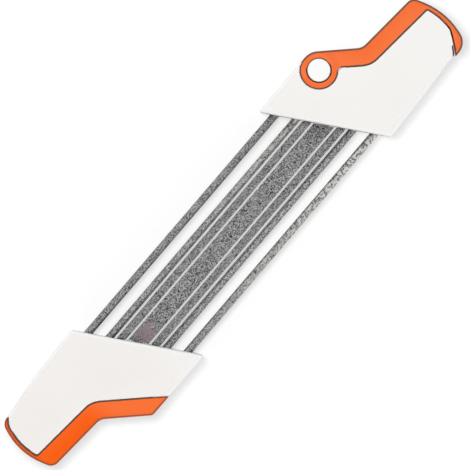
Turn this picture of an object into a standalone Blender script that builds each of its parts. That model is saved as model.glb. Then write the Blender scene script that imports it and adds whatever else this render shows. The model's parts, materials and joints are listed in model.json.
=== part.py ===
"""Chainsaw file guide: two round files, a depth file and two guide rails between two handles.

The files lie along X, the bench is the plane z = 0 and the middle of the tool is x = y = 0.
One handle is fixed to the guide rods. The other slides on them: a lever at its side turns a crank
that pushes the handle off the ends of the files, so that they can be changed.
Both handles are drawn at +X. The fixed one is then turned half round about Z.
"""

import math

import bmesh
import bpy
from mathutils import Matrix, Vector

MM = 0.001

# Files and rods, which set the layout of everything else
FILE_LENGTH = 200.0 * MM
FILE_RADIUS = 2.6 * MM
FILE_OFFSET = 16.4 * MM
DEPTH_FILE_WIDTH = 12.0 * MM
DEPTH_FILE_THICKNESS = 3.4 * MM
RAIL_WIDTH = 5.2 * MM
RAIL_THICKNESS = 4.0 * MM
RAIL_OFFSET = 9.9 * MM
ROD_RADIUS = 2.6 * MM
ROD_OFFSET = 28.8 * MM
FIXED_SEAT = 6.5 * MM
CLAMP_SEAT = 5.5 * MM

# Filing geometry: cutter tops touch the rails, and the files hang from there
RAIL_BED = 16.0 * MM
DEPTH_SETTING = 0.65 * MM
FACE_ANGLE = math.radians(30.0)
file_rise_share = 0.2

# Handles
HANDLE_LENGTH = 103.6 * MM
HANDLE_HEIGHT = 34.0 * MM
EDGE_RADIUS = 3.5 * MM
WALL = 2.4 * MM
BLOCK_DEPTH = 18.0 * MM
BAND_THICKNESS = 2.8 * MM
GRIP_WIDTH = 12.3 * MM
RIB_THICKNESS = 1.8 * MM
RIB_DEPTH = 4.0 * MM

# Lever, crank and the fork that it pushes against
PIVOT_DROP = 2.8 * MM
RING_PLATE = 4.0 * MM
RING_PROUD = 0.8 * MM
CAP_RADIUS = 7.5 * MM
CAP_THICKNESS = 1.6 * MM
LOWER_CAP_THICKNESS = 0.9 * MM
LOWER_PLATE = 3.0 * MM
LEVER_WALL = 2.6 * MM
LEVER_CELLS = 5
LEVER_SWING = math.radians(80.0)
RELEASE = 1.0 * MM
HOOK_DEPTH = 1.4 * MM
CATCH_WIDTH = 0.8 * MM
CATCH_DEPTH = 8.0 * MM
CRANK_PIN_RADIUS = 1.5 * MM
CRANK_RIM = 1.2 * MM
CRANK_WEB = 2.4 * MM
HUB_SQUARE = 5.6 * MM
HUB_SHOULDER = 0.04 * MM
FORK_THICKNESS = 4.0 * MM
PRONG_WIDTH = 1.6 * MM
FORK_HUB_WALL = 1.6 * MM
FORK_HUB_LENGTH = 5.6 * MM
CRANK_ROOM = 2.4 * MM
CRANK_GAP = 0.88 * MM

# Fasteners
SCREW_RADIUS = 1.5 * MM
SCREW_HEAD_RADIUS = 2.9 * MM
SCREW_HEAD_HEIGHT = 1.9 * MM
SCREW_COVER = 7.3 * MM
SCREW_RECESS = 3.0 * MM
SOCKET_RADIUS = 1.3 * MM
BOSS_WALL = 1.9 * MM
SCREW_LEAD = 6.8 * MM
ROD_PIN_RADIUS = 1.2 * MM
FORK_PIN_RADIUS = 0.9 * MM
BUSH_WALL = 1.1 * MM
BUSH_LENGTH = 12.0 * MM
CLIP_WIDTH = 2.4 * MM
CLIP_THICKNESS = 0.8 * MM
GROOVE_DEPTH = 0.6 * MM

# File teeth
TOOTH_PITCH = 3.2 * MM
TOOTH_DEPTH = 0.3 * MM
FLUTE_COUNT = 7
FLUTE_DEPTH = 0.22 * MM
FLUTE_STEP = 6.0 * MM

# Clearances
FIT_GAP = 0.3 * MM
SEAM_GAP = 0.5 * MM
SEAM_WIDTH = 1.1 * MM
SHOULDER_GAP = 0.5 * MM
OVERRUN = 12.0 * MM

# Fineness of round shapes
ARC_STEP = math.radians(18.0)
EDGE_STEPS = 4
FINE_SIDES = 36
ROUND_SIDES = 16
SMALL_SIDES = 10

# Places that follow from the sizes above
FACE_REACH = (FILE_LENGTH - FIXED_SEAT - CLAMP_SEAT) / 2
SLANT = math.tan(FACE_ANGLE)
DIAGONAL = math.sqrt(2)
SEAT_SLANT = FILE_RADIUS * SLANT
SLIDE_TRAVEL = CLAMP_SEAT + SEAT_SLANT + RELEASE
MID = HANDLE_HEIGHT / 2
FORK_HUB_HALF = ROD_RADIUS + FIT_GAP + FORK_HUB_WALL
FORK_HUB_START = FACE_REACH - (ROD_OFFSET - FORK_HUB_HALF) * SLANT + BLOCK_DEPTH + SLIDE_TRAVEL + SEAM_GAP
LEFT_ROD_END = FORK_HUB_START + FORK_HUB_LENGTH
FORK_PIN_X = FORK_HUB_START + FORK_HUB_LENGTH / 2
JOURNAL_RADIUS = HUB_SQUARE / DIAGONAL + HUB_SHOULDER
PIVOT_X = LEFT_ROD_END + CRANK_ROOM + JOURNAL_RADIUS
PIVOT_Y = ROD_OFFSET - PIVOT_DROP
CRANK_THROW = SLIDE_TRAVEL / (2 * math.sin(LEVER_SWING / 2))
RING_RADIUS = CRANK_THROW + CRANK_PIN_RADIUS + CRANK_RIM + CRANK_GAP + WALL + FIT_GAP
HALF_WIDTH = PIVOT_Y + RING_RADIUS
TOP_SEAT = HANDLE_HEIGHT + RING_PROUD - RING_PLATE
LOWER_SEAT = LOWER_PLATE + FIT_GAP
WINDOW_HALF_WIDTH = ROD_OFFSET + ROD_RADIUS + BUSH_WALL + 2 * FIT_GAP + BOSS_WALL / 2
WINDOW_HALF_HEIGHT = (HANDLE_HEIGHT - 2 * EDGE_RADIUS) / 2 - FIT_GAP
NECK_RADIUS = RING_RADIUS + SEAM_WIDTH + FIT_GAP
BOSS_RADIUS = SCREW_RADIUS + FIT_GAP + BOSS_WALL
HEAD_BOSS_RADIUS = SCREW_HEAD_RADIUS + FIT_GAP + BOSS_WALL
PIN_ANGLE = (math.pi - LEVER_SWING) / 2
FILE_Z = RAIL_BED + 2 * FILE_RADIUS * file_rise_share - FILE_RADIUS
DEPTH_FILE_Z = RAIL_BED - DEPTH_SETTING


# Plain shapes

def face_x(y):
    """The handle's slanted face at a distance y from the tool's centre line."""
    return FACE_REACH - y * SLANT


least_rounding_share = 0.1


def rounded_outline(corners, inset=0.0):
    """Points of a counterclockwise outline of (x, y, radius) corners, moved inwards by inset.

    Two fillets that would meet on one edge share its length, so that the outline never crosses itself.
    """
    count = len(corners)
    places, turns, radii, starts = [], [], [], []
    for index, (x, y, radius) in enumerate(corners):
        before = Vector((x - corners[index - 1][0], y - corners[index - 1][1])).normalized()
        following = corners[(index + 1) % count]
        after = Vector((following[0] - x, following[1] - y)).normalized()
        turn = math.atan2(before.x * after.y - before.y * after.x, before.dot(after))
        left = Vector((-before.y - after.y, before.x + after.x)).normalized()
        sense = math.copysign(1, turn)
        places.append(Vector((x, y)) + left * (inset / math.cos(turn / 2)))
        turns.append(turn)
        radii.append(max(radius - sense * inset, least_rounding_share * radius))
        starts.append((math.atan2(-before.x * sense, before.y * sense), left * sense))
    limits = [1.0] * count
    for index in range(count):
        after = (index + 1) % count
        edge = (places[after] - places[index]).length
        used = sum(radii[i] * math.tan(abs(turns[i]) / 2) for i in (index, after))
        if used > edge:
            limits[index] = min(limits[index], edge / used)
            limits[after] = min(limits[after], edge / used)
    points = []
    for place, turn, radius, limit, (start, inwards) in zip(places, turns, radii, limits, starts):
        if radius == 0:
            points.append(place)
            continue
        centre = place + inwards * (radius * limit / math.cos(turn / 2))
        steps = max(1, round(abs(turn) / ARC_STEP))
        for step in range(steps + 1):
            angle = start + turn * step / steps
            points.append(centre + radius * limit * Vector((math.cos(angle), math.sin(angle))))
    return points


def solid_from_loops(name, loops):
    """Closed solid through stacked loops of equal length, with flat ends."""
    mesh = bmesh.new()
    rings = [[mesh.verts.new(point) for point in loop] for loop in loops]
    for lower, upper in zip(rings, rings[1:]):
        for index in range(len(lower)):
            after = (index + 1) % len(lower)
            mesh.faces.new((lower[index], lower[after], upper[after], upper[index]))
    mesh.faces.new(list(reversed(rings[0])))
    mesh.faces.new(rings[-1])
    bmesh.ops.recalc_face_normals(mesh, faces=mesh.faces)
    data = bpy.data.meshes.new(name)
    mesh.to_mesh(data)
    mesh.free()
    made = bpy.data.objects.new(name, data)
    bpy.context.collection.objects.link(made)
    return made


def prism(name, outline, low, high):
    """Upright prism on a flat outline, between two heights."""
    return solid_from_loops(name, [[(x, y, z) for x, y in outline] for z in (low, high)])


def box(name, low, high):
    """Box between two opposite corners."""
    outline = [(low[0], low[1]), (high[0], low[1]), (high[0], high[1]), (low[0], high[1])]
    return prism(name, outline, low[2], high[2])


def circle(centre, radius, sides=ROUND_SIDES, turn=0.0):
    """Flat points of a circle, or of a regular shape with the given number of sides."""
    angles = [turn + 2 * math.pi * step / sides for step in range(sides)]
    return [(centre[0] + radius * math.cos(a), centre[1] + radius * math.sin(a)) for a in angles]


def post(name, centre, radius, low, high, sides=ROUND_SIDES):
    """Upright round bar."""
    return prism(name, circle(centre, radius, sides), low, high)


def bar(name, y, z, radius, start, end, sides=ROUND_SIDES):
    """Round bar that lies along X."""
    ring = circle((y, z), radius, sides, math.pi / sides)
    return solid_from_loops(name, [[(x, ry, rz) for ry, rz in ring] for x in (start, end)])


def slanted_slab(name, near, far, half_width, low, high):
    """Slab between two planes that run parallel to the handle's slanted face."""
    outline = [(face_x(side) + depth, side)
               for depth, side in ((near, half_width), (near, -half_width),
                                   (far, -half_width), (far, half_width))]
    return prism(name, outline, low, high)


def combine(target, tool, operation):
    """Boolean of two solids, with the result kept as plain mesh and the tool removed."""
    modifier = target.modifiers.new(operation.lower(), 'BOOLEAN')
    modifier.operation = operation
    modifier.solver = 'EXACT'
    modifier.object = tool
    evaluated = target.evaluated_get(bpy.context.evaluated_depsgraph_get())
    result = bpy.data.meshes.new_from_object(evaluated)
    target.modifiers.clear()
    former = target.data
    target.data = result
    bpy.data.meshes.remove(former)
    bpy.data.objects.remove(tool)
    return target


def cut(target, *tools):
    for tool in tools:
        combine(target, tool, 'DIFFERENCE')
    return target


def join(target, *tools):
    for tool in tools:
        combine(target, tool, 'UNION')
    return target


def keep(target, *tools):
    for tool in tools:
        combine(target, tool, 'INTERSECT')
    return target


# Outline of a handle and of the seam between its body and its orange piece

# Corners of the free end, as shares of the handle's length, its half width and its half width again:
# the fixed handle, the clamp handle with its lever, and the white body inside the lever's band
fixed_end_shares = ((0.560, -0.963, 0.90), (0.940, -0.850, 0.19), (1.024, -0.339, 1.28), (0.945, 0.294, 0.17))
lever_end_shares = ((0.560, -0.959, 0.90), (0.972, -0.934, 0.27), (1.041, -0.318, 1.26), (0.967, 0.278, 0.16))
body_end_shares = ((0.560, -0.959, 0.90), (1.041, -0.878, 0.10), (1.041, -0.318, 1.26), (0.967, 0.278, 0.16))
heel_radius_share = 0.06
tip_radius_share = 0.04
waist_share = 0.366
waist_radius_share = 0.23


def handle_corners(end_shares):
    """Outline of a whole handle in plan, counterclockwise from the sharp tip."""
    corners = [(face_x(HALF_WIDTH), HALF_WIDTH, tip_radius_share * HALF_WIDTH),
               (face_x(-HALF_WIDTH), -HALF_WIDTH, heel_radius_share * HALF_WIDTH)]
    for along, across, radius in end_shares:
        corners.append((FACE_REACH + along * HANDLE_LENGTH, across * HALF_WIDTH, radius * HALF_WIDTH))
    shoulder = PIVOT_X + PIVOT_Y + RING_RADIUS * DIAGONAL
    waist = waist_share * HALF_WIDTH
    corners.append((shoulder - waist, waist, waist_radius_share * HALF_WIDTH))
    corners.append((shoulder - HALF_WIDTH, HALF_WIDTH, RING_RADIUS))
    return corners


def handle_solid(name, margin, end_shares=fixed_end_shares):
    """The handle's outer form with soft edges, or that form shrunk all round by a margin."""
    rounding = EDGE_RADIUS - margin
    quarter = [math.pi / 2 * step / EDGE_STEPS for step in range(EDGE_STEPS + 1)]
    levels = [(margin + rounding * (1 - math.sin(a)), margin + rounding * (1 - math.cos(a)))
              for a in quarter]
    levels += [(inset, HANDLE_HEIGHT - height) for inset, height in reversed(levels)]
    corners = handle_corners(end_shares)
    loops = [[(x, y, height) for x, y in rounded_outline(corners, inset)] for inset, height in levels]
    return solid_from_loops(name, loops)


# Corners of the seam between the body and its orange piece, from the handle's side round the end to
# the arm, as shares of the handle's length, its half width and its half width again
fixed_seam_shares = ((0.887, -0.833, 0.03), (0.927, -0.754, 0.30), (0.971, -0.316, 1.14), (0.949, -0.057, 0.04))
lever_seam_shares = ((0.946, -0.734, 0.12), (0.991, -0.395, 1.15), (0.968, -0.063, 0.03))
run_start_share = 0.045
run_radius_share = 0.42
fork_seam_share = 0.408
catch_share = -0.775
thin_tip_share = 0.45


def body_corners(has_lever):
    """Outline of the white body in plan, open wide where the handle's own outline bounds it."""
    far = HALF_WIDTH + OVERRUN
    seam_shares = lever_seam_shares if has_lever else fixed_seam_shares
    seam = [(FACE_REACH + along * HANDLE_LENGTH, across * HALF_WIDTH, radius * HALF_WIDTH)
            for along, across, radius in seam_shares]
    corners = [(face_x(far) - OVERRUN, far, 0.0), (face_x(far) - OVERRUN, -far, 0.0),
               (seam[0][0], -far, 0.0)] + seam
    run_start = run_start_share * HALF_WIDTH
    shoulder = PIVOT_X + PIVOT_Y + RING_RADIUS * DIAGONAL - GRIP_WIDTH * DIAGONAL
    corners.append((shoulder - run_start, run_start, run_radius_share * HALF_WIDTH))
    if has_lever:
        height = fork_seam_share * HALF_WIDTH
        corners.append((shoulder - height, height, SEAM_GAP))
        corners.append((PIVOT_X, height, 0.0))
        corners.append((PIVOT_X, far, 0.0))
    else:
        corners.append((shoulder - far, far, 0.0))
    return corners


def swing_radius():
    """Reach of the white body from the pivot, short of its corner so that the lever's hook swings clear."""
    along, across, _ = lever_seam_shares[0]
    corner = Vector((FACE_REACH + along * HANDLE_LENGTH, across * HALF_WIDTH))
    return (corner - Vector((PIVOT_X, PIVOT_Y))).length - HOOK_DEPTH


def body_prism(has_lever, margin):
    """Upright cutter over the white body's plan, grown by a margin."""
    made = prism('body_cutter', rounded_outline(body_corners(has_lever), -margin),
                 -OVERRUN, HANDLE_HEIGHT + OVERRUN)
    if has_lever:
        reach = post('swing_cutter', (PIVOT_X, PIVOT_Y), swing_radius() + margin,
                     -2 * OVERRUN, HANDLE_HEIGHT + 2 * OVERRUN, 3 * FINE_SIDES)
        keep(made, reach)
    return made


def catch_room(margin):
    """Slot beside the lever's hook, open at the top of the white body, grown by a margin."""
    reach = swing_radius() - CATCH_WIDTH - margin
    room = box('catch_room', (PIVOT_X, -HALF_WIDTH - OVERRUN, HANDLE_HEIGHT - CATCH_DEPTH - margin),
               (FACE_REACH + HANDLE_LENGTH + OVERRUN, catch_share * HALF_WIDTH + margin,
                HANDLE_HEIGHT + 2 * OVERRUN))
    return cut(room, post('catch_core', (PIVOT_X, PIVOT_Y), reach, 0.0, HANDLE_HEIGHT + 3 * OVERRUN,
                          3 * FINE_SIDES))


# Handle bodies

# Place of the last screw along the handle, and of the two far screws across it
last_screw_share = 0.86
far_screw_height_shares = (-0.66, -0.36)
block_screw_share = 0.75
block_screw_depth_share = 0.68
rib_shares = (0.46, 0.72)
lug_shares = (0.62, 0.80)


def screw_places():
    """Centres of a handle's four screws: two through the socket block and two at the far end."""
    side = block_screw_share * FILE_OFFSET
    places = [(face_x(y) + block_screw_depth_share * BLOCK_DEPTH, y) for y in (side, -side)]
    far = (rod_end(-1) + SCREW_LEAD + HEAD_BOSS_RADIUS, FACE_REACH + last_screw_share * HANDLE_LENGTH)
    places += [(x, share * HALF_WIDTH) for x, share in zip(far, far_screw_height_shares)]
    return places


def lug_boxes(margin):
    """Two lugs that hold the fixed handle's grip, or their windows when grown by a margin."""
    height = (run_start_share + fixed_seam_shares[-1][1]) / 2 * HALF_WIDTH
    reach = 2 * WALL + margin
    made = []
    for share in lug_shares:
        x = FACE_REACH + share * HANDLE_LENGTH
        half = WALL + margin
        made.append(box('lug', (x - half, height - reach, MID - half),
                        (x + half, height + reach, MID + half)))
    return made


def window(margin):
    """Opening in the slanted face that shows the socket block, shrunk by a margin."""
    return slanted_slab('window', -OVERRUN if margin == 0 else FIT_GAP, 2 * WALL,
                        WINDOW_HALF_WIDTH - margin, MID - WINDOW_HALF_HEIGHT + margin,
                        MID + WINDOW_HALF_HEIGHT - margin)


def whole_shell(name, has_lever):
    """Hollow white body of one handle, before it is parted into two halves."""
    end_shares = body_end_shares if has_lever else fixed_end_shares
    shell = handle_solid(name, 0.0, end_shares)
    region = body_prism(has_lever, 0.0)
    cavity = handle_solid('cavity', WALL, end_shares)
    inner = body_prism(has_lever, -WALL)
    pivot = (PIVOT_X, PIVOT_Y)
    if has_lever:
        side = RING_RADIUS - FIT_GAP
        join(region, post('boss', pivot, side, LOWER_SEAT, TOP_SEAT, FINE_SIDES))
        join(inner, post('boss_room', pivot, side - WALL, -OVERRUN, HANDLE_HEIGHT + OVERRUN, FINE_SIDES))
        cut(region, catch_room(0.0))
        cut(inner, catch_room(WALL))
    keep(shell, region)
    keep(cavity, inner)
    if has_lever:
        recess = RING_RADIUS + SEAM_WIDTH
        plate = recess + WALL
        for low, high in ((TOP_SEAT - FIT_GAP - WALL, HANDLE_HEIGHT), (0.0, LOWER_SEAT + FIT_GAP + WALL)):
            cut(cavity, post('plate', pivot, plate, low, high))
        for low, high in ((TOP_SEAT - FIT_GAP, HANDLE_HEIGHT + OVERRUN), (-OVERRUN, LOWER_SEAT + FIT_GAP)):
            cut(shell, post('recess', pivot, recess, low, high, FINE_SIDES),
                box('thin_tip', (PIVOT_X - thin_tip_share * RING_RADIUS, HALF_WIDTH - WALL / 2, low),
                    (PIVOT_X, HALF_WIDTH + OVERRUN, high)))
        cut(shell, post('shaft_hole', pivot, JOURNAL_RADIUS + FIT_GAP, -OVERRUN, HANDLE_HEIGHT + OVERRUN))
    cut(shell, cavity, window(0.0))
    if not has_lever:
        cut(shell, *lug_boxes(FIT_GAP))
    return shell


def shell_half(name, whole, upper):
    """One half of a handle body, with its screw bosses and ribs."""
    half = whole.copy()
    half.data = whole.data.copy()
    half.name = name
    bpy.context.collection.objects.link(half)
    far = FACE_REACH + HANDLE_LENGTH + OVERRUN
    low, high = (MID + FIT_GAP / 2, HANDLE_HEIGHT + OVERRUN) if upper else (-OVERRUN, MID - FIT_GAP / 2)
    keep(half, box('half_room', (0.0, -HALF_WIDTH - OVERRUN, low), (far, HALF_WIDTH + OVERRUN, high)))
    inner = HANDLE_HEIGHT - WALL / 2 if upper else WALL / 2
    rib_edge = inner - RIB_DEPTH if upper else inner + RIB_DEPTH
    for share in rib_shares:
        x = FACE_REACH + share * HANDLE_LENGTH
        join(half, box('rib', (x, -HALF_WIDTH + EDGE_RADIUS, min(inner, rib_edge)),
                       (x + RIB_THICKNESS, fixed_seam_shares[-1][1] * HALF_WIDTH - 2 * WALL,
                        max(inner, rib_edge))))
    for index, place in enumerate(screw_places()):
        in_block = index < 2
        if upper:
            foot = MID + RIB_DEPTH if in_block else MID + FIT_GAP / 2
            join(half, post('boss', place, BOSS_RADIUS, foot, inner, SMALL_SIDES))
            cut(half, post('pilot', place, SCREW_RADIUS + FIT_GAP, -OVERRUN, inner - WALL / 2, SMALL_SIDES))
        else:
            top = SCREW_RECESS + WALL if in_block else MID - FIT_GAP / 2
            join(half, post('boss', place, HEAD_BOSS_RADIUS, inner, top, SMALL_SIDES))
            cut(half, post('recess', place, SCREW_HEAD_RADIUS + FIT_GAP, -OVERRUN, SCREW_RECESS),
                post('hole', place, SCREW_RADIUS + FIT_GAP, -OVERRUN, MID, SMALL_SIDES))
    return half


def socket_block(name, seat, has_bushes):
    """Block behind a handle's face: sockets for the files and rails, and bores for the rods."""
    margin = WALL + FIT_GAP
    block = keep(handle_solid(name, margin),
                 slanted_slab('depth', margin, BLOCK_DEPTH, HALF_WIDTH, 0.0, HANDLE_HEIGHT))
    join(block, window(FIT_GAP))
    front = FACE_REACH - HALF_WIDTH
    rear = FACE_REACH + HALF_WIDTH + BLOCK_DEPTH
    for side in (-1, 1):
        end = face_x(side * FILE_OFFSET) + seat + FIT_GAP
        cut(block, bar('socket', side * FILE_OFFSET, FILE_Z, FILE_RADIUS + FIT_GAP, front, end))
        half = RAIL_WIDTH / 2 - SHOULDER_GAP + FIT_GAP
        y = side * RAIL_OFFSET
        cut(block, box('socket', (front, y - half, RAIL_BED + SHOULDER_GAP - FIT_GAP),
                       (face_x(y) + seat + FIT_GAP, y + half,
                        RAIL_BED + RAIL_THICKNESS - SHOULDER_GAP + FIT_GAP)))
        y = side * ROD_OFFSET
        cut(block, bar('bore', y, MID, ROD_RADIUS + FIT_GAP, front, rear))
        if has_bushes:
            cut(block, bar('bore', y, MID, ROD_RADIUS + BUSH_WALL + 2 * FIT_GAP, front,
                           bush_start(y) + BUSH_LENGTH + FIT_GAP))
        else:
            cut(block, post('pin_hole', (rod_pin_x(y), y), ROD_PIN_RADIUS + FIT_GAP,
                            MID - 2 * ROD_RADIUS - FIT_GAP, HANDLE_HEIGHT, SMALL_SIDES))
    half = FILE_RADIUS + FIT_GAP
    cut(block, box('socket', (front, -half, DEPTH_FILE_Z + SHOULDER_GAP - FIT_GAP),
                   (FACE_REACH + seat + FIT_GAP, half,
                    DEPTH_FILE_Z + DEPTH_FILE_THICKNESS - SHOULDER_GAP + FIT_GAP)))
    for place in screw_places()[:2]:
        cut(block, post('boss_room', place, BOSS_RADIUS + FIT_GAP, MID + RIB_DEPTH - FIT_GAP,
                        HANDLE_HEIGHT, SMALL_SIDES),
            post('hole', place, SCREW_RADIUS + FIT_GAP, 0.0, HANDLE_HEIGHT, SMALL_SIDES),
            post('head_room', place, HEAD_BOSS_RADIUS + FIT_GAP, 0.0,
                 SCREW_RECESS + WALL + FIT_GAP, SMALL_SIDES))
    return block


def screw(name, place):
    """Cylinder-head screw, put in from below, with a six-sided socket in its head."""
    seat = SCREW_RECESS - FIT_GAP
    made = post(name, place, SCREW_HEAD_RADIUS, seat - SCREW_HEAD_HEIGHT, seat, SMALL_SIDES)
    join(made, post('shank', place, SCREW_RADIUS, seat - SCREW_RADIUS, HANDLE_HEIGHT - SCREW_COVER,
                    SMALL_SIDES))
    cut(made, post('socket', place, SOCKET_RADIUS, -OVERRUN, seat - SCREW_HEAD_HEIGHT / 2, 6))
    return made


# Files, rails and rods

def round_file(name, y):
    """Round file with spiral flutes between two plain ends."""
    start = -face_x(-y) - FIXED_SEAT
    end = face_x(y) + CLAMP_SEAT
    plain = FIXED_SEAT + SEAT_SLANT + SHOULDER_GAP
    points = 2 * FLUTE_COUNT
    steps = round((end - start - 2 * plain) / FLUTE_STEP)
    stations = [(start, 0.0)]
    stations += [(start + plain + (end - start - 2 * plain) * step / steps, FLUTE_DEPTH)
                 for step in range(steps + 1)]
    stations.append((end, 0.0))
    loops = []
    for index, (x, depth) in enumerate(stations):
        ring = []
        for point in range(points):
            angle = math.pi * (point + index) / FLUTE_COUNT
            radius = FILE_RADIUS - (depth if point % 2 else 0.0)
            if x in (start, end):
                radius = FILE_RADIUS - FLUTE_DEPTH
            ring.append((x, y + radius * math.cos(angle), FILE_Z + radius * math.sin(angle)))
        loops.append(ring)
    return solid_from_loops(name, loops)


def depth_file(name):
    """Flat file with cross-cut teeth parallel to the handles' faces, and a tang at each end."""
    reach = FACE_REACH - SHOULDER_GAP
    count = round(2 * reach / TOOTH_PITCH)
    pitch = 2 * reach / count
    low = DEPTH_FILE_Z
    high = DEPTH_FILE_Z + DEPTH_FILE_THICKNESS
    under = []
    over = []
    for tooth in range(count):
        x = -reach + tooth * pitch
        under += [(x, low + TOOTH_DEPTH), (x + pitch * 2 / 3, low)]
        over += [(x, high - TOOTH_DEPTH), (x + pitch * 2 / 3, high)]
    under.append((reach, low + TOOTH_DEPTH))
    over.append((reach, high - TOOTH_DEPTH))
    profile = under + list(reversed(over))
    half = DEPTH_FILE_WIDTH / 2
    blade = solid_from_loops(name, [[(x - y * SLANT, y, z) for x, z in profile] for y in (-half, half)])
    return join(blade, box('tang', (-FACE_REACH - FIXED_SEAT, -FILE_RADIUS, low + SHOULDER_GAP),
                           (FACE_REACH + CLAMP_SEAT, FILE_RADIUS, high - SHOULDER_GAP)))


def guide_rail(name, y):
    """Steel rail whose flat underside rides on the cutters, stepped down to a tenon at each end."""
    reach = FACE_REACH - SHOULDER_GAP
    half = RAIL_WIDTH / 2
    low = RAIL_BED
    high = RAIL_BED + RAIL_THICKNESS
    bevel = SHOULDER_GAP
    section = [(-half + bevel, low), (half - bevel, low), (half, low + bevel), (half, high - bevel),
               (half - bevel, high), (-half + bevel, high), (-half, high - bevel), (-half, low + bevel)]
    loops = [[(end - (y + across) * SLANT, y + across, z) for across, z in section]
             for end in (-reach, reach)]
    rail = solid_from_loops(name, loops)
    tenon = half - SHOULDER_GAP
    return join(rail, box('tenon', (-face_x(-y) - FIXED_SEAT, y - tenon, low + SHOULDER_GAP),
                          (face_x(y) + CLAMP_SEAT, y + tenon, high - SHOULDER_GAP)))


def rod_pin_x(y):
    """Where a cross pin holds a rod in the fixed handle, in that handle's own frame."""
    return face_x(y) + block_screw_depth_share * BLOCK_DEPTH


def bush_start(y):
    """Front end of a sliding bush, just inside the slanted face."""
    return face_x(y - ROD_RADIUS - BUSH_WALL) + FIT_GAP


def stop_x():
    """Near side of the clip that ends the clamp handle's travel."""
    outside = ROD_OFFSET + ROD_RADIUS + CLIP_WIDTH
    return face_x(-outside) + BLOCK_DEPTH + SLIDE_TRAVEL + FIT_GAP


def rod_end(side):
    """End of a guide rod inside the clamp handle: short of the crank, or past the stop clip."""
    if side > 0:
        return LEFT_ROD_END
    return stop_x() + 3 * CLIP_THICKNESS


def guide_rod(name, side):
    """Plain round rod, cross-drilled where it is pinned, or grooved for the stop clip."""
    y = side * ROD_OFFSET
    start = -face_x(-y) - BLOCK_DEPTH - WALL
    rod = bar(name, y, MID, ROD_RADIUS, start, rod_end(side))
    cut(rod, post('pin_hole', (-rod_pin_x(-y), y), ROD_PIN_RADIUS + FIT_GAP, 0.0, HANDLE_HEIGHT,
                  SMALL_SIDES))
    if side > 0:
        cut(rod, post('pin_hole', (FORK_PIN_X, y), FORK_PIN_RADIUS + FIT_GAP, 0.0, HANDLE_HEIGHT,
                      SMALL_SIDES))
    else:
        groove = bar('groove', y, MID, 2 * ROD_RADIUS, stop_x() - FIT_GAP,
                     stop_x() + CLIP_THICKNESS + FIT_GAP)
        cut(groove, bar('core', y, MID, ROD_RADIUS - GROOVE_DEPTH, stop_x() - CLIP_THICKNESS,
                        stop_x() + 2 * CLIP_THICKNESS))
        cut(rod, groove)
    return rod


def stop_clip(name):
    """Open spring clip in the groove of the shorter-travelling rod."""
    y = -ROD_OFFSET
    inner = ROD_RADIUS - GROOVE_DEPTH + FIT_GAP
    clip = bar(name, y, MID, ROD_RADIUS + CLIP_WIDTH, stop_x(), stop_x() + CLIP_THICKNESS)
    cut(clip, bar('bore', y, MID, inner, 0.0, stop_x() + OVERRUN),
        box('mouth', (0.0, y - inner, MID), (stop_x() + OVERRUN, y + inner, HANDLE_HEIGHT)))
    return clip


def bush(name, side):
    """Plain bush on which the clamp handle slides along a rod."""
    y = side * ROD_OFFSET
    start = bush_start(y)
    made = bar(name, y, MID, ROD_RADIUS + FIT_GAP + BUSH_WALL, start, start + BUSH_LENGTH)
    return cut(made, bar('bore', y, MID, ROD_RADIUS + FIT_GAP, 0.0, start + 2 * BUSH_LENGTH))


# Crank, fork and lever

def crank_pin_centre():
    """Crank pin with the lever closed."""
    return (PIVOT_X + CRANK_THROW * math.cos(PIN_ANGLE), PIVOT_Y + CRANK_THROW * math.sin(PIN_ANGLE))


def draw_fork(name):
    """Fork on the end of a guide rod: a hub pinned to the rod and two prongs around the crank pin."""
    pin_x, pin_y = crank_pin_centre()
    half_slot = CRANK_PIN_RADIUS + FIT_GAP
    outer = half_slot + PRONG_WIDTH
    floor = pin_y - half_slot
    tip = PIVOT_Y + CRANK_THROW
    foot = floor - 2 * PRONG_WIDTH
    outline = [(FORK_HUB_START, ROD_OFFSET - FORK_HUB_HALF), (pin_x - outer, foot), (pin_x + outer, foot),
               (pin_x + outer, tip - PRONG_WIDTH), (pin_x + half_slot + PRONG_WIDTH / 3, tip),
               (pin_x + half_slot, tip), (pin_x + half_slot, floor), (pin_x - half_slot, floor),
               (pin_x - half_slot, tip), (pin_x - half_slot - PRONG_WIDTH / 3, tip),
               (pin_x - outer, tip - PRONG_WIDTH), (FORK_HUB_START, ROD_OFFSET + FORK_HUB_HALF)]
    fork = prism(name, outline, MID - FORK_THICKNESS / 2, MID + FORK_THICKNESS / 2)
    end = rod_end(1) + FIT_GAP
    join(fork, box('hub', (FORK_HUB_START, ROD_OFFSET - FORK_HUB_HALF, MID - FORK_HUB_HALF),
                   (end, ROD_OFFSET + FORK_HUB_HALF, MID + FORK_HUB_HALF)))
    return cut(fork, bar('bore', ROD_OFFSET, MID, ROD_RADIUS + FIT_GAP, 0.0, end),
               post('pin_hole', (FORK_PIN_X, ROD_OFFSET), FORK_PIN_RADIUS + FIT_GAP, 0.0, HANDLE_HEIGHT,
                    SMALL_SIDES))


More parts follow.
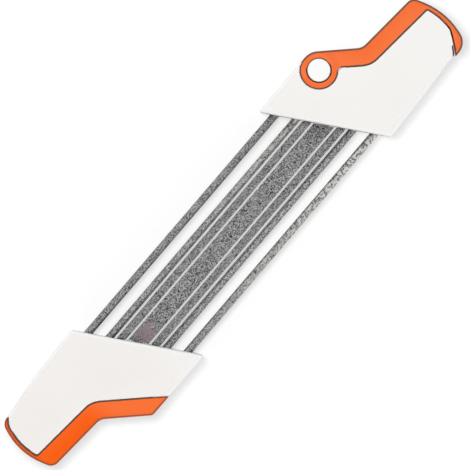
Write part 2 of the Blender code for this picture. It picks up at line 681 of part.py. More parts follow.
def crank_shaft(name):
    """Crank of the lever: journals, two webs with the crank pin between them, and square ends."""
    pivot = (PIVOT_X, PIVOT_Y)
    pin_x, pin_y = crank_pin_centre()
    web_low = MID + ROD_RADIUS + 2 * FIT_GAP
    web_high = web_low + CRANK_WEB
    shaft = post(name, (pin_x, pin_y), CRANK_PIN_RADIUS, MID - web_high + MID, web_high)
    ends = ((Vector(pivot), JOURNAL_RADIUS + CRANK_RIM / 2, PIN_ANGLE + math.pi / 2),
            (Vector((pin_x, pin_y)), CRANK_PIN_RADIUS + CRANK_RIM, PIN_ANGLE - math.pi / 2))
    outline = []
    for centre, radius, start in ends:
        for step in range(SMALL_SIDES):
            angle = start + math.pi * step / (SMALL_SIDES - 1)
            outline.append(centre + radius * Vector((math.cos(angle), math.sin(angle))))
    square = HUB_SQUARE / DIAGONAL
    lower_end = LOWER_CAP_THICKNESS + 2 * FIT_GAP
    upper_end = HANDLE_HEIGHT + RING_PROUD - CAP_THICKNESS - 2 * FIT_GAP
    levels = ((web_low, web_high, TOP_SEAT - FIT_GAP / 3, upper_end),
              (HANDLE_HEIGHT - web_low, HANDLE_HEIGHT - web_high, LOWER_SEAT + FIT_GAP / 3, lower_end))
    for web_near, web_far, journal_end, square_end in levels:
        join(shaft, prism('web', outline, min(web_near, web_far), max(web_near, web_far)),
             post('journal', pivot, JOURNAL_RADIUS, min(web_near, journal_end), max(web_near, journal_end)),
             prism('square', circle(pivot, square, 4, math.pi / 4),
                   min(web_far, square_end), max(web_far, square_end)))
        bore_depth = CAP_RADIUS / 2
        cut(shaft, post('cap_bore', pivot, SCREW_RADIUS, square_end - bore_depth, square_end + bore_depth,
                        SMALL_SIDES))
    return shaft


def pivot_cap(name, low, high, stem_end):
    """White cap over the crank's end: a disc with a stem that is pressed into the shaft."""
    pivot = (PIVOT_X, PIVOT_Y)
    cap = post(name, pivot, CAP_RADIUS, low, high, FINE_SIDES)
    near = (low + high) / 2
    return join(cap, post('stem', pivot, SCREW_RADIUS - FIT_GAP, min(near, stem_end), max(near, stem_end),
                          SMALL_SIDES))


def lever(name):
    """Orange lever: two rings around the pivot, a hollow arm, a band round the end and its hook."""
    pivot = (PIVOT_X, PIVOT_Y)
    made = cut(handle_solid(name, 0.0, lever_end_shares), body_prism(True, SEAM_WIDTH))
    low = FIT_GAP
    keep(made, box('clear_of_bench', (0.0, -HALF_WIDTH - OVERRUN, low),
                   (FACE_REACH + HANDLE_LENGTH + OVERRUN, HALF_WIDTH + OVERRUN, HANDLE_HEIGHT + OVERRUN)))
    cut(made, post('neck_room', pivot, NECK_RADIUS, LOWER_SEAT, TOP_SEAT, FINE_SIDES))
    join(made, post('ring', pivot, RING_RADIUS, TOP_SEAT, HANDLE_HEIGHT + RING_PROUD, FINE_SIDES),
         post('ring', pivot, RING_RADIUS, low, LOWER_SEAT, FINE_SIDES))
    pocket = cut(handle_solid('pocket', LEVER_WALL, lever_end_shares), body_prism(True, -WALL))
    pocket_start = PIVOT_X + NECK_RADIUS + LEVER_WALL
    pocket_end = FACE_REACH + HANDLE_LENGTH - 3 * BAND_THICKNESS - LEVER_WALL
    keep(pocket, box('pocket_room', (pocket_start, -HALF_WIDTH / 2, 0.0),
                     (pocket_end, HALF_WIDTH, HANDLE_HEIGHT)))
    for rib in range(1, LEVER_CELLS):
        x = pocket_start + (pocket_end - pocket_start) * rib / LEVER_CELLS
        cut(pocket, box('rib', (x, -HALF_WIDTH, -OVERRUN),
                        (x + RIB_THICKNESS, HALF_WIDTH, HANDLE_HEIGHT + OVERRUN)))
    square = HUB_SQUARE / DIAGONAL + FIT_GAP * DIAGONAL
    counterbore = CAP_RADIUS + FIT_GAP
    return cut(made, pocket,
               prism('hub', circle(pivot, square, 4, math.pi / 4), -OVERRUN, HANDLE_HEIGHT + OVERRUN),
               post('cap_room', pivot, counterbore, HANDLE_HEIGHT + RING_PROUD - CAP_THICKNESS - FIT_GAP,
                    HANDLE_HEIGHT + OVERRUN, FINE_SIDES),
               post('cap_room', pivot, counterbore, -OVERRUN, low + LOWER_CAP_THICKNESS + FIT_GAP,
                    FINE_SIDES))


def grip(name):
    """Orange grip of the fixed handle, held by two lugs between the halves of the body."""
    made = cut(handle_solid(name, 0.0), body_prism(False, SEAM_WIDTH))
    return join(made, *lug_boxes(0.0))


# Materials

COLOURS = {
    'white_plastic': ((0.87, 0.87, 0.84, 1.0), 0.42, 0.0),
    'orange_plastic': ((0.93, 0.13, 0.02, 1.0), 0.40, 0.0),
    'socket_plastic': ((0.62, 0.62, 0.60, 1.0), 0.50, 0.0),
    'file_steel': ((0.25, 0.25, 0.26, 1.0), 0.45, 1.0),
    'rail_steel': ((0.24, 0.24, 0.25, 1.0), 0.38, 1.0),
    'rod_steel': ((0.33, 0.33, 0.34, 1.0), 0.28, 1.0),
    'zinc_steel': ((0.55, 0.55, 0.57, 1.0), 0.35, 1.0),
    'bronze': ((0.55, 0.36, 0.16, 1.0), 0.40, 1.0),
}


def finish(name):
    """Material of one finish, made once."""
    if name in bpy.data.materials:
        return bpy.data.materials[name]
    colour, roughness, metallic = COLOURS[name]
    made = bpy.data.materials.new(name)
    made.use_nodes = True
    shader = made.node_tree.nodes['Principled BSDF']
    shader.inputs['Base Color'].default_value = colour
    shader.inputs['Roughness'].default_value = roughness
    shader.inputs['Metallic'].default_value = metallic
    return made


def frame_empty(name, place, parent=None, turn=0.0):
    """Empty that carries the pieces of one body."""
    empty = bpy.data.objects.new(name, None)
    empty.location = place
    empty.rotation_euler = (0.0, 0.0, turn)
    empty.parent = parent
    bpy.context.collection.objects.link(empty)
    return empty


def place_piece(piece, finish_name, carrier=None, origin=(0.0, 0.0, 0.0)):
    """Finish a piece and hang it on its carrier, with its own origin at the carrier's."""
    piece.data.transform(Matrix.Translation(-Vector(origin)))
    piece.parent = carrier
    piece.data.materials.clear()
    piece.data.materials.append(finish(finish_name))
    piece.data.shade_smooth()
    piece.data.set_sharp_from_angle(angle=math.radians(30.0))
    return piece


# The whole tool

def build_handle(prefix, has_lever, carrier, origin):
    """White halves, socket block and screws of one handle."""
    whole = whole_shell('whole', has_lever)
    for half_name, upper in (('top', True), ('bottom', False)):
        half = shell_half(prefix + '_' + half_name, whole, upper)
        place_piece(half, 'white_plastic', carrier, origin)
    bpy.data.objects.remove(whole)
    seat = CLAMP_SEAT if has_lever else FIXED_SEAT
    block = socket_block(prefix + '_socket_block', seat, has_lever)
    place_piece(block, 'socket_plastic', carrier, origin)
    for index, place in enumerate(screw_places()):
        place_piece(screw(prefix + '_screw_' + str(index + 1), place), 'zinc_steel', carrier, origin)


def build_tool():
    """All pieces of the tool, each on the body that carries it."""
    turned = frame_empty('fixed_handle_frame', (0.0, 0.0, 0.0), None, math.pi)
    build_handle('fixed_handle', False, turned, (0.0, 0.0, 0.0))
    place_piece(grip('fixed_handle_grip'), 'orange_plastic', turned)
    for side, hand in ((1, 'left'), (-1, 'right')):
        pin_place = (rod_pin_x(-side * ROD_OFFSET), -side * ROD_OFFSET)
        pin = post('rod_pin_' + hand, pin_place, ROD_PIN_RADIUS, MID - 2 * ROD_RADIUS, MID + 2 * ROD_RADIUS,
                   SMALL_SIDES)
        place_piece(pin, 'zinc_steel', turned)
        place_piece(guide_rod('guide_rod_' + hand, side), 'rod_steel')
        place_piece(round_file('round_file_' + hand, side * FILE_OFFSET), 'file_steel')
        place_piece(guide_rail('guide_rail_' + hand, side * RAIL_OFFSET), 'rail_steel')
    place_piece(depth_file('depth_file'), 'file_steel')
    place_piece(draw_fork('draw_fork'), 'zinc_steel')
    place_piece(post('fork_pin', (FORK_PIN_X, ROD_OFFSET), FORK_PIN_RADIUS, MID - FORK_HUB_HALF,
                     MID + FORK_HUB_HALF, SMALL_SIDES), 'zinc_steel')
    place_piece(stop_clip('stop_clip'), 'zinc_steel')

    slide_origin = (FACE_REACH, 0.0, MID)
    slider = frame_empty('clamp_handle_slide', slide_origin)
    build_handle('clamp_handle', True, slider, slide_origin)
    for side, hand in ((1, 'left'), (-1, 'right')):
        place_piece(bush('rod_bush_' + hand, side), 'bronze', slider, slide_origin)

    pivot = Vector((PIVOT_X, PIVOT_Y, MID))
    swing = frame_empty('lever_hinge', pivot - Vector(slide_origin), slider)
    place_piece(lever('lever'), 'orange_plastic', swing, pivot)
    place_piece(crank_shaft('crank_shaft'), 'zinc_steel', swing, pivot)
    upper = HANDLE_HEIGHT + RING_PROUD
    place_piece(pivot_cap('pivot_cap_top', upper - CAP_THICKNESS, upper - FIT_GAP / 2,
                          upper - CAP_THICKNESS - CAP_RADIUS / 3), 'white_plastic', swing, pivot)
    place_piece(pivot_cap('pivot_cap_bottom', FIT_GAP, FIT_GAP + LOWER_CAP_THICKNESS,
                          FIT_GAP + LOWER_CAP_THICKNESS + CAP_RADIUS / 3), 'white_plastic', swing, pivot)


for existing in list(bpy.data.objects):
    bpy.data.objects.remove(existing)
build_tool()
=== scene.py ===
"""Chainsaw file guide, dressed for its picture.

The tool lies on a pale floor, seen straight from above: two white and orange plastic handles, and
between them, from side to side, a guide rod, a round file, a guide rail, the flat depth file and
the same three again. The shapes repeat the model's sizes with finer rounds and broken edges.
"""

import json
import math
from contextlib import contextmanager
from functools import partial

import bmesh
import bpy
from mathutils import Matrix, Vector
from mathutils.bvhtree import BVHTree


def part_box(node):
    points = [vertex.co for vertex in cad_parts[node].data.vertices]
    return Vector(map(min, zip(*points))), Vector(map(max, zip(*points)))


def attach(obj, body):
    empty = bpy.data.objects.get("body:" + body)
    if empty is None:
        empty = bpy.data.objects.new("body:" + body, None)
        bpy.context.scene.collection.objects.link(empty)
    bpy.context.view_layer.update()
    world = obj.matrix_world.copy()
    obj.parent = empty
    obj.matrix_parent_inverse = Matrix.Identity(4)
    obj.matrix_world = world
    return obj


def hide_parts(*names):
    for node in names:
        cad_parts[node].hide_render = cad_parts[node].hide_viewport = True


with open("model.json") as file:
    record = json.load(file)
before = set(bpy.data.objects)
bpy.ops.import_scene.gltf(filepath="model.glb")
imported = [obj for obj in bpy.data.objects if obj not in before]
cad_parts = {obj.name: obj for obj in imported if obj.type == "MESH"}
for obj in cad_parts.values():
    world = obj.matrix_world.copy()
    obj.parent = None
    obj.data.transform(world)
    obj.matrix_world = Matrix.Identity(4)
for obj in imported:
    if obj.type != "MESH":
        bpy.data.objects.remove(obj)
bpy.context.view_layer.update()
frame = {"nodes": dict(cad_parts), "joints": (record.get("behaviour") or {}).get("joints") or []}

MM = 0.001

# Files, rails and rods
FILE_LENGTH = 200.0 * MM
FILE_RADIUS = 2.6 * MM
FILE_OFFSET = 16.4 * MM
DEPTH_FILE_WIDTH = 12.0 * MM
DEPTH_FILE_THICKNESS = 3.4 * MM
RAIL_WIDTH = 5.2 * MM
RAIL_THICKNESS = 4.0 * MM
RAIL_OFFSET = 9.9 * MM
ROD_RADIUS = 2.6 * MM
ROD_OFFSET = 28.8 * MM
FIXED_SEAT = 6.5 * MM
CLAMP_SEAT = 5.5 * MM
RAIL_BED = 16.0 * MM
DEPTH_SETTING = 0.65 * MM
FACE_ANGLE = math.radians(30.0)
FILE_RISE_SHARE = 0.2

# Handles
HANDLE_LENGTH = 103.6 * MM
HANDLE_HEIGHT = 34.0 * MM
EDGE_RADIUS = 3.5 * MM
WALL = 2.4 * MM
BAND_THICKNESS = 2.8 * MM
GRIP_WIDTH = 12.3 * MM
RING_RADIUS = 12.5 * MM
RING_PLATE = 4.0 * MM
RING_PROUD = 0.8 * MM
RING_GROOVE = 0.4 * MM
CAP_RADIUS = 7.5 * MM
CAP_THICKNESS = 1.6 * MM
LOWER_CAP_THICKNESS = 0.9 * MM
LOWER_PLATE = 3.0 * MM
LEVER_WALL = 2.6 * MM
LEVER_CELLS = 5
RIB_THICKNESS = 1.8 * MM
HOOK_DEPTH = 2.0 * MM
CATCH_WIDTH = 1.1 * MM
CATCH_DEPTH = 8.0 * MM
HUB_SQUARE = 5.6 * MM
SHAFT_RADIUS = 4.0 * MM
RING_FILLET = 0.6 * MM
RING_LEDGE = 0.7 * MM
CAP_MOAT = 0.6 * MM
GRIP_CORNER = 4.0 * MM
LEDGE_DEPTH = 1.0 * MM
LIP_GAP = 0.15 * MM
CAP_FILLET = 0.8 * MM
RAIL_CORNER = 0.55 * MM
CORNER_STEPS = 4
BUSH_WALL = 1.1 * MM
SHELL_BOSS_WALL = 1.9 * MM

# Screws in the underside
SCREW_HEAD_RADIUS = 2.9 * MM
SCREW_HEAD_HEIGHT = 1.9 * MM
SCREW_RECESS = 3.0 * MM
SCREW_RADIUS = 1.5 * MM
SOCKET_RADIUS = 1.3 * MM
SOCKET_SIDES = 6
SOCKET_DEPTH_SHARE = 0.6
GROOVE_DEPTH = 0.6 * MM
SCREW_SIDES = 32
SCREW_COUNT = 4
SCREWS_IN_BLOCK = 2

# File teeth
FILE_PITCH = 0.95 * MM
FILE_THREADS = 5
FILE_TOOTH_DEPTH = 0.14 * MM
FILE_SIDES = 36
SPIRAL_ROWS = 6
PLAIN_FADE = 1.4
DEPTH_PITCH = 1.1 * MM
DEPTH_TOOTH_DEPTH = 0.22 * MM
DEPTH_COLUMNS = 31
CROSS_SLOPE = 0.9
CROSS_PITCH_SHARE = 1.3
CROSS_DEPTH_SHARE = 0.8
CROSS_ROWS = 5
FIRST_TOOTH_SHIFT = 0.01
MERGE_REACH = 0.005 * MM

# Gaps and broken edges
FIT_GAP = 0.3 * MM
SEAM_GAP = 0.5 * MM
SEAM_WIDTH = 1.1 * MM
SHOULDER_GAP = 0.5 * MM
EDGE_BREAK = 0.35 * MM
OVERRUN = 12.0 * MM

# Grain of the steel, in cells for each metre
GRAIN_SCALE = 2500.0

# Floor, light and view
FLOOR_REACH = 2.5
FLOOR_DEPTH = 0.01
FLOOR_GLOW = 1.085
FLOOR_GLOW_SHARE = 0.5
FLOOR_TONES = ((0.92, 0.92, 0.92), (0.925, 0.925, 0.925))
FLOOR_ROUGHNESS = 0.9
FLOOR_CLOUD_SCALE = 3.0
WORLD_LIGHT = 0.45
LAMP_POWER = 28.0
LAMP_WIDTH = 0.42
LAMP_PLACE = (-0.03, 0.30, 2.2)
FILL_POWER = 4.0
FILL_WIDTH = 0.6
FILL_PLACE = (0.25, -2.0, 0.6)
SENSOR = 36.0
LENS = 600.0
VIEW_WIDTH = 308.3 * MM
VIEW_CENTRE = (0.92 * MM, -2.49 * MM)
VIEW_TURN = math.radians(49.4)

# Fineness of round shapes
ARC_STEP = math.radians(5.0)
EDGE_STEPS = 10
RING_SIDES = 96
BAR_SIDES = 48

# Places that follow from the sizes above
joints = {joint["name"]: joint for joint in frame["joints"]}
PIVOT = Vector(joints["lever_swing"]["pos_m"][:2])
HALF_WIDTH = PIVOT.y + RING_RADIUS
FACE_REACH = (FILE_LENGTH - FIXED_SEAT - CLAMP_SEAT) / 2
SLANT = math.tan(FACE_ANGLE)
DIAGONAL = math.sqrt(2)
MID = HANDLE_HEIGHT / 2
MID_RAIL = RAIL_BED + RAIL_THICKNESS / 2
RING_TOP = HANDLE_HEIGHT + RING_PROUD
TOP_SEAT = HANDLE_HEIGHT + RING_PROUD - RING_PLATE
LOWER_SEAT = LOWER_PLATE + FIT_GAP
NECK_RADIUS = RING_RADIUS + SEAM_WIDTH + FIT_GAP
WINDOW_HALF_WIDTH = ROD_OFFSET + ROD_RADIUS + BUSH_WALL + 2 * FIT_GAP + SHELL_BOSS_WALL / 2
WINDOW_HALF_HEIGHT = (HANDLE_HEIGHT - 2 * EDGE_RADIUS) / 2 - FIT_GAP
FILE_Z = RAIL_BED + 2 * FILE_RADIUS * FILE_RISE_SHARE - FILE_RADIUS
DEPTH_FILE_MIDDLE = RAIL_BED - DEPTH_SETTING + DEPTH_FILE_THICKNESS / 2
HALF_TURN = Matrix.Rotation(math.pi, 4, 'Z')

# Corners of the free end, as shares of the handle's length, its half width and its half width again:
# the fixed handle, the clamp handle with its lever, and the white body inside the lever's band
FIXED_END_SHARES = ((0.560, -0.963, 0.90), (0.940, -0.850, 0.19), (1.024, -0.339, 1.28),
                    (0.945, 0.294, 0.17))
LEVER_END_SHARES = ((0.560, -0.959, 0.90), (0.972, -0.934, 0.27), (1.041, -0.318, 1.26),
                    (0.967, 0.278, 0.16))
BODY_END_SHARES = ((0.560, -0.959, 0.90), (1.041, -0.878, 0.10), (1.041, -0.318, 1.26),
                   (0.967, 0.278, 0.16))
HEEL_SHARE = 0.06
TIP_SHARE = 0.04
WAIST_SHARE = 0.366
WAIST_RADIUS_SHARE = 0.23

# Corners of the seam between the body and its orange piece, from the handle's side round the end to
# the arm, as the same shares
FIXED_SEAM_SHARES = ((0.887, -0.833, 0.03), (0.927, -0.754, 0.30), (0.971, -0.316, 1.14),
                     (0.949, -0.057, 0.04))
LEVER_SEAM_SHARES = ((0.946, -0.734, 0.12), (0.991, -0.395, 1.15), (0.968, -0.063, 0.03))
RUN_START_SHARE = 0.045
RUN_RADIUS_SHARE = 0.42
FORK_SEAM_SHARE = 0.408
CATCH_SHARE = -0.775
THIN_TIP_SHARE = 0.45
FAR_LIP_SHARE = -0.55
LIP_END_SHARES = (0.80, 0.35)
RIB_SHARES = (0.46, 0.72)
LUG_SHARES = (0.62, 0.80)
RIB_DEPTH = 4.0 * MM
SHOULDER = PIVOT.x + PIVOT.y + RING_RADIUS * DIAGONAL


def in_place(shares):
    """Corners given as shares of a handle's size, in place."""
    return [(FACE_REACH + along * HANDLE_LENGTH, across * HALF_WIDTH, radius * HALF_WIDTH)
            for along, across, radius in shares]


SWING_RADIUS = (Vector(in_place(LEVER_SEAM_SHARES)[0][:2]) - PIVOT).length - HOOK_DEPTH

# Cutters, which reach well past the handle
BELOW = -OVERRUN
ABOVE = HANDLE_HEIGHT + OVERRUN
ASIDE = HALF_WIDTH + OVERRUN
BEYOND = FACE_REACH + HANDLE_LENGTH + OVERRUN
SWING_SIDES = 4 * RING_SIDES

# Meshes: what counts as a sliver, angles of sharp edges in degrees, and the pull of flat faces
SLIVER = EDGE_BREAK / 10
LEAST_RADIUS_PART = 10
SHARP_ANGLE = 30.0
TOOTH_ANGLE = 25.0
BREAK_ANGLE = 35.0
FLAT_WEIGHT = 80
BEVEL_STEPS = 2

# Noise and pointed edges: the values between which each mask runs from 0 to 1
NOISE_SPAN = (0.3, 0.7)
CLOUD_SPAN = (0.35, 0.65)
TOOTH_SPAN = (0.35, 0.65)
SMUDGE_SPAN = (0.42, 0.72)
LONG_SCUFF_SPAN = (0.66, 0.74)
CROSS_SCUFF_SPAN = (0.68, 0.76)
SPECK_SPAN = (0.56, 0.68)
BLOT_SPAN = (0.47, 0.53)
GRAIN_SPAN = (0.2, 0.8)
FLAT_POINTINESS = 0.5
LEAST_POINTINESS = 0.505

# Plastic: cells for each metre, shares of the effects, and where the painted shade lines and the painted
# light rims lie, in ledge depths below the top
PIT_SCALE = 1800.0
CLOUD_SCALE = 22.0
SCUFF_SCALE = 60.0
SMUDGE_SCALE = 35.0
CLOUD_SHARE = 0.6
SCUFF_SHARE = 0.22
POLISH_SHARE = 0.18
POLISH_REACH = 0.06
SMUDGE_GLOSS = 0.07
PIT_ROUGHNESS = 0.06
PIT_STRENGTH = 0.22
PIT_DEPTH = 0.03 * MM
PLASTIC_IOR = 1.46
# Painted shade lines round the upper edges of orange pieces and on the seam lips
RIM_SHADE_LINE = (3.0, 2.4, 1.0, 0.6)
LIP_SHADE_LINE = (1.5, 1.4, 1.05, 1.0)
LIP_SHADE_LINE_SHARE = 0.95
# Painted light: the pale rim on the white body's upper edge
PAINTED_LIGHT_RIM = (4.5, 3.5, 0.9, 0.1)
PAINTED_LIGHT_RIM_SHARE = 0.85
SLOT_SHADE_SHARE = 0.9
# Colour of the painted shade: seam lines, lines round orange edges and the hook's slot
PAINTED_SHADE_BROWN = (0.080, 0.062, 0.045)
NEUTRAL = (0.60, 0.59, 0.58)

# Steel: scales of the lines, specks and bands, depths, and how far the roughness strays
BAR_SCALES = {'Line_Scale': 900.0, 'Speck_Scale': 2600.0}
CUT_SCALES = {'Line_Scale': 600.0, 'Speck_Scale': 2800.0}
BAND_SCALE = 160.0
LINE_STRENGTH = 0.3
LINE_DEPTH = 0.02 * MM
SPECK_STRENGTH = 0.35
SPECK_DEPTH = 0.04 * MM
BAR_ROUGHNESS = (-0.06, 0.08)
CUT_ROUGHNESS = (-0.05, 0.10)
# Painted highlight on the edges and tooth tips of file steel
EDGE_HIGHLIGHT_SHARE = 0.7
EDGE_REACH = 0.10
# Pale greasy blots painted as glints of light on one rod and one file
GREASE_GLINT = (0.68, 0.665, 0.62)
GREASE_GLINT_SCALE = 520.0
GREASE_GLINT_END = 90.0 * MM
ROD_GREASE_GLINT_START = -110.0 * MM
FILE_GREASE_GLINT_START = -10.0 * MM
BLOOM = (0.36, 0.27, 0.30)
BLOOM_PLACE = (-85.5 * MM, 0.0, 18.0 * MM)
BLOOM_SHARE = 0.75
BLOOM_REACH = (8.5 * MM, 3.0 * MM)
BLOOM_RAGGED = 2.0 * MM
BLOOM_SCALE = 300.0


# Plain shapes

def face_x(y):
    """The handle's slanted face at a distance y from the tool's centre line."""
    return FACE_REACH - y * SLANT


def rounded_outline(corners, inset=0.0):
    """Points of a counterclockwise outline of (x, y, radius) corners, moved inwards by inset."""
    count = len(corners)
    places, turns, radii, starts = [], [], [], []
    for index, (x, y, radius) in enumerate(corners):
        before = Vector((x - corners[index - 1][0], y - corners[index - 1][1])).normalized()
        following = corners[(index + 1) % count]
        after = Vector((following[0] - x, following[1] - y)).normalized()
        turn = math.atan2(before.x * after.y - before.y * after.x, before.dot(after))
        left = Vector((-before.y - after.y, before.x + after.x)).normalized()
        sense = math.copysign(1, turn)
        places.append(Vector((x, y)) + left * (inset / math.cos(turn / 2)))
        turns.append(turn)
        radii.append(max(radius - sense * inset, radius / LEAST_RADIUS_PART))
        starts.append((math.atan2(-before.x * sense, before.y * sense), left * sense))
    limits = [1.0] * count
    for index in range(count):
        after = (index + 1) % count
        edge = (places[after] - places[index]).length
        used = sum(radii[i] * math.tan(abs(turns[i]) / 2) for i in (index, after))
        if used > edge:
            limits[index] = min(limits[index], edge / used)
            limits[after] = min(limits[after], edge / used)
    points = []
    for place, turn, radius, limit, (start, inwards) in zip(places, turns, radii, limits, starts):
        if radius == 0:
            points.append(place)
            continue
        centre = place + inwards * (radius * limit / math.cos(turn / 2))
        steps = max(2, round(abs(turn) / ARC_STEP))
        for step in range(steps + 1):
            angle = start + turn * step / steps
            points.append(centre + radius * limit * Vector((math.cos(angle), math.sin(angle))))
    return points


def in_scene(name, data):
    """Object with the given data, in the scene."""
    made = bpy.data.objects.new(name, data)
    bpy.context.collection.objects.link(made)
    return made


@contextmanager
def edited(data):
    """A mesh opened for editing, and written back at the end."""
    mesh = bmesh.new()
    mesh.from_mesh(data)
    yield mesh
    mesh.to_mesh(data)
    mesh.free()


def solid_from_loops(loops, name='part'):
    """Solid through stacked loops of equal length, with flat ends."""
    data = bpy.data.meshes.new(name)
    with edited(data) as mesh:
        rings = [[mesh.verts.new(point) for point in loop] for loop in loops]
        for lower, upper in zip(rings, rings[1:]):
            for index in range(len(lower)):
                after = (index + 1) % len(lower)
                mesh.faces.new((lower[index], lower[after], upper[after], upper[index]))
        mesh.faces.new(list(reversed(rings[0])))
        mesh.faces.new(rings[-1])
        bmesh.ops.recalc_face_normals(mesh, faces=mesh.faces)
    return in_scene(name, data)


def prism(outline, low=BELOW, high=ABOVE, name='part'):
    """Upright prism on a flat outline, between two heights."""
    return solid_from_loops([[(x, y, z) for x, y in outline] for z in (low, high)], name)


def box(low, high, name='part'):
    """Box between two opposite corners."""
    outline = [(low[0], low[1]), (high[0], low[1]), (high[0], high[1]), (low[0], high[1])]
    return prism(outline, low[2], high[2], name)


def circle(radius, sides, centre=PIVOT, turn=0.0):
    """Flat points of a circle, or of a regular shape with the given number of sides."""
    angles = [turn + 2 * math.pi * step / sides for step in range(sides)]
    return [(centre[0] + radius * math.cos(a), centre[1] + radius * math.sin(a)) for a in angles]


def post(radius, low=BELOW, high=ABOVE, centre=PIVOT, sides=RING_SIDES):
    """Upright round bar, round the lever's axis if no other place is given."""
    return prism(circle(radius, sides, centre), low, high)


def turned(profile, name='part'):
    """Solid turned round the lever's axis, from (radius, height) points in order of height."""
    return solid_from_loops([[(x, y, z) for x, y in circle(radius, RING_SIDES)] for radius, z in profile],
                            name)


def fillet(inner, outer, low, high, steps=5):
    """Quarter round from the side of a turned piece at (outer, low) to its top at (inner, high)."""
    angles = [math.pi / 2 * step / steps for step in range(steps + 1)]
    return [(inner + (outer - inner) * math.cos(a), low + (high - low) * math.sin(a)) for a in angles]


def upside_down(profile, total):
    """Turned profile mirrored between two heights that add up to the total."""
    return [(radius, total - z) for radius, z in reversed(profile)]


def finished_by_modifiers(piece):
    """Turn a piece's modifiers into plain mesh."""
    evaluated = piece.evaluated_get(bpy.context.evaluated_depsgraph_get())
    result = bpy.data.meshes.new_from_object(evaluated)
    piece.modifiers.clear()
    former = piece.data
    piece.data = result
    bpy.data.meshes.remove(former)
    return piece


def combine(operation, target, *tools):
    """Boolean of a solid with others, which are removed."""
    for tool in tools:
        modifier = target.modifiers.new(operation.lower(), 'BOOLEAN')
        modifier.operation = operation
        modifier.solver = 'EXACT'
        modifier.object = tool
        finished_by_modifiers(target)
        bpy.data.objects.remove(tool)
    return target


cut = partial(combine, 'DIFFERENCE')
join = partial(combine, 'UNION')
keep = partial(combine, 'INTERSECT')


def smooth_by_angle(piece, angle=SHARP_ANGLE):
    """Smooth shading, with the edges beyond an angle kept sharp."""
    piece.data.shade_smooth()
    piece.data.set_sharp_from_angle(angle=math.radians(angle))
    return piece


def smooth_faces(piece):
    """Smooth shading that also leaves broad flat faces flat."""
    smooth_by_angle(piece)
    weighted = piece.modifiers.new('flat_faces', 'WEIGHTED_NORMAL')
    weighted.weight = FLAT_WEIGHT
    weighted.keep_sharp = True
    return finished_by_modifiers(piece)


def dressed(piece, material, body, slot, *nodes, turned_round=False):
    """Give a finished piece its material and put it in the place of its CAD nodes."""
    if turned_round:
        piece.data.transform(HALF_TURN)
    piece.data.materials.clear()
    piece.data.materials.append(material)
    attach(piece, body)
    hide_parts(*nodes)


# Node trees

def feed(socket, value):
    """Wire a socket to a field, or set its value. A colour is given as three numbers."""
    if isinstance(value, Field):
        socket.id_data.links.new(value.socket, socket)
    elif value is not None:
        socket.default_value = (*value, 1.0) if socket.type == 'RGBA' else value


def set_inputs(node, **values):
    """Set or wire a node's inputs by name."""
    for name, value in values.items():
        feed(node.inputs[name.replace('_', ' ')], value)


def add_node(tree, kind, *inputs, **named):
    """Add a node. Inputs are given in order or by their capitalised names, settings in small letters."""
    node = tree.nodes.new(kind)
    for name, value in named.items():
        if name[0].islower():
            setattr(node, name, value)
    for index, value in enumerate(inputs):
        feed(node.inputs[index], value)
    set_inputs(node, **{name: value for name, value in named.items() if name[0].isupper()})
    return Field(node.outputs[0])


class Field:
    """Output of a node. Arithmetic on it adds math nodes to the same tree."""

    def __init__(self, socket):
        self.socket = socket

    def output(self, name):
        """Another output of the same node."""
        return Field(self.socket.node.outputs[name])

    def fed(self, name, *values):
        """The same field, after values have gone to an input of its node, by name or number."""
        for value in values:
            feed(self.socket.node.inputs[name], value)
        return self

    def maths(self, operation, *others):
        return add_node(self.socket.id_data, 'ShaderNodeMath', self, *others, operation=operation)

    def mask(self, low, high, new_low=0.0, new_high=1.0):
        """Share that runs from one value of the field to another."""
        return add_node(self.socket.id_data, 'ShaderNodeMapRange', self, low, high, new_low, new_high)

    def __add__(self, other):
        return self.maths('ADD', other)

    def __sub__(self, other):
        return self.maths('SUBTRACT', other)

    def __mul__(self, other):
        return self.maths('MULTIPLY', other)

    def __truediv__(self, other):
        return self.maths('DIVIDE', other)


def new_group(kind, name, values, outputs):
    """Node group: its tree, its inputs by name, each with a first value, and its outputs' sockets."""
    tree = bpy.data.node_groups.new(name, kind)
    for label, value in values.items():
        sort = {float: 'Float', int: 'Int'}.get(type(value), label)
        socket = tree.interface.new_socket(label, in_out='INPUT', socket_type='NodeSocket' + sort)
        if value is not None:
            socket.default_value = value
    for label in outputs:
        sort = 'Geometry' if label == 'Geometry' else 'Float'
        tree.interface.new_socket(label, in_out='OUTPUT', socket_type='NodeSocket' + sort)
    given = tree.nodes.new('NodeGroupInput').outputs
    return tree, {label: Field(given[label]) for label in values}, tree.nodes.new('NodeGroupOutput').inputs


def shared_effect(make, *outputs, **values):
    """Shader node group with named inputs and outputs, from a function that makes its fields."""
    tree, given, result = new_group('ShaderNodeTree', make.__name__,
                                    {label.replace('_', ' '): value for label, value in values.items()},
                                    outputs)
    for label, value in zip(outputs, make(tree, *given.values())):
        feed(result[label], value)
    return tree


def use_group(tree, group, **values):
    """Place a shared group in a material, with its inputs set or wired by name."""
    node = tree.nodes.new('ShaderNodeGroup')
    node.node_tree = group
    set_inputs(node, **values)
    return {socket.name: Field(socket) for socket in node.outputs}


def blend(tree, share, first, second, mode='MIX'):
    """Mix of two colours."""
    mixed = add_node(tree, 'ShaderNodeMix', share, data_type='RGBA', blend_type=mode)
    return mixed.fed(6, first).fed(7, second).output(2)


def object_place(tree):
    return add_node(tree, 'ShaderNodeTexCoord').output('Object')


def axis(tree, name):
    """One part of the object coordinates."""
    return add_node(tree, 'ShaderNodeSeparateXYZ', object_place(tree)).output(name)


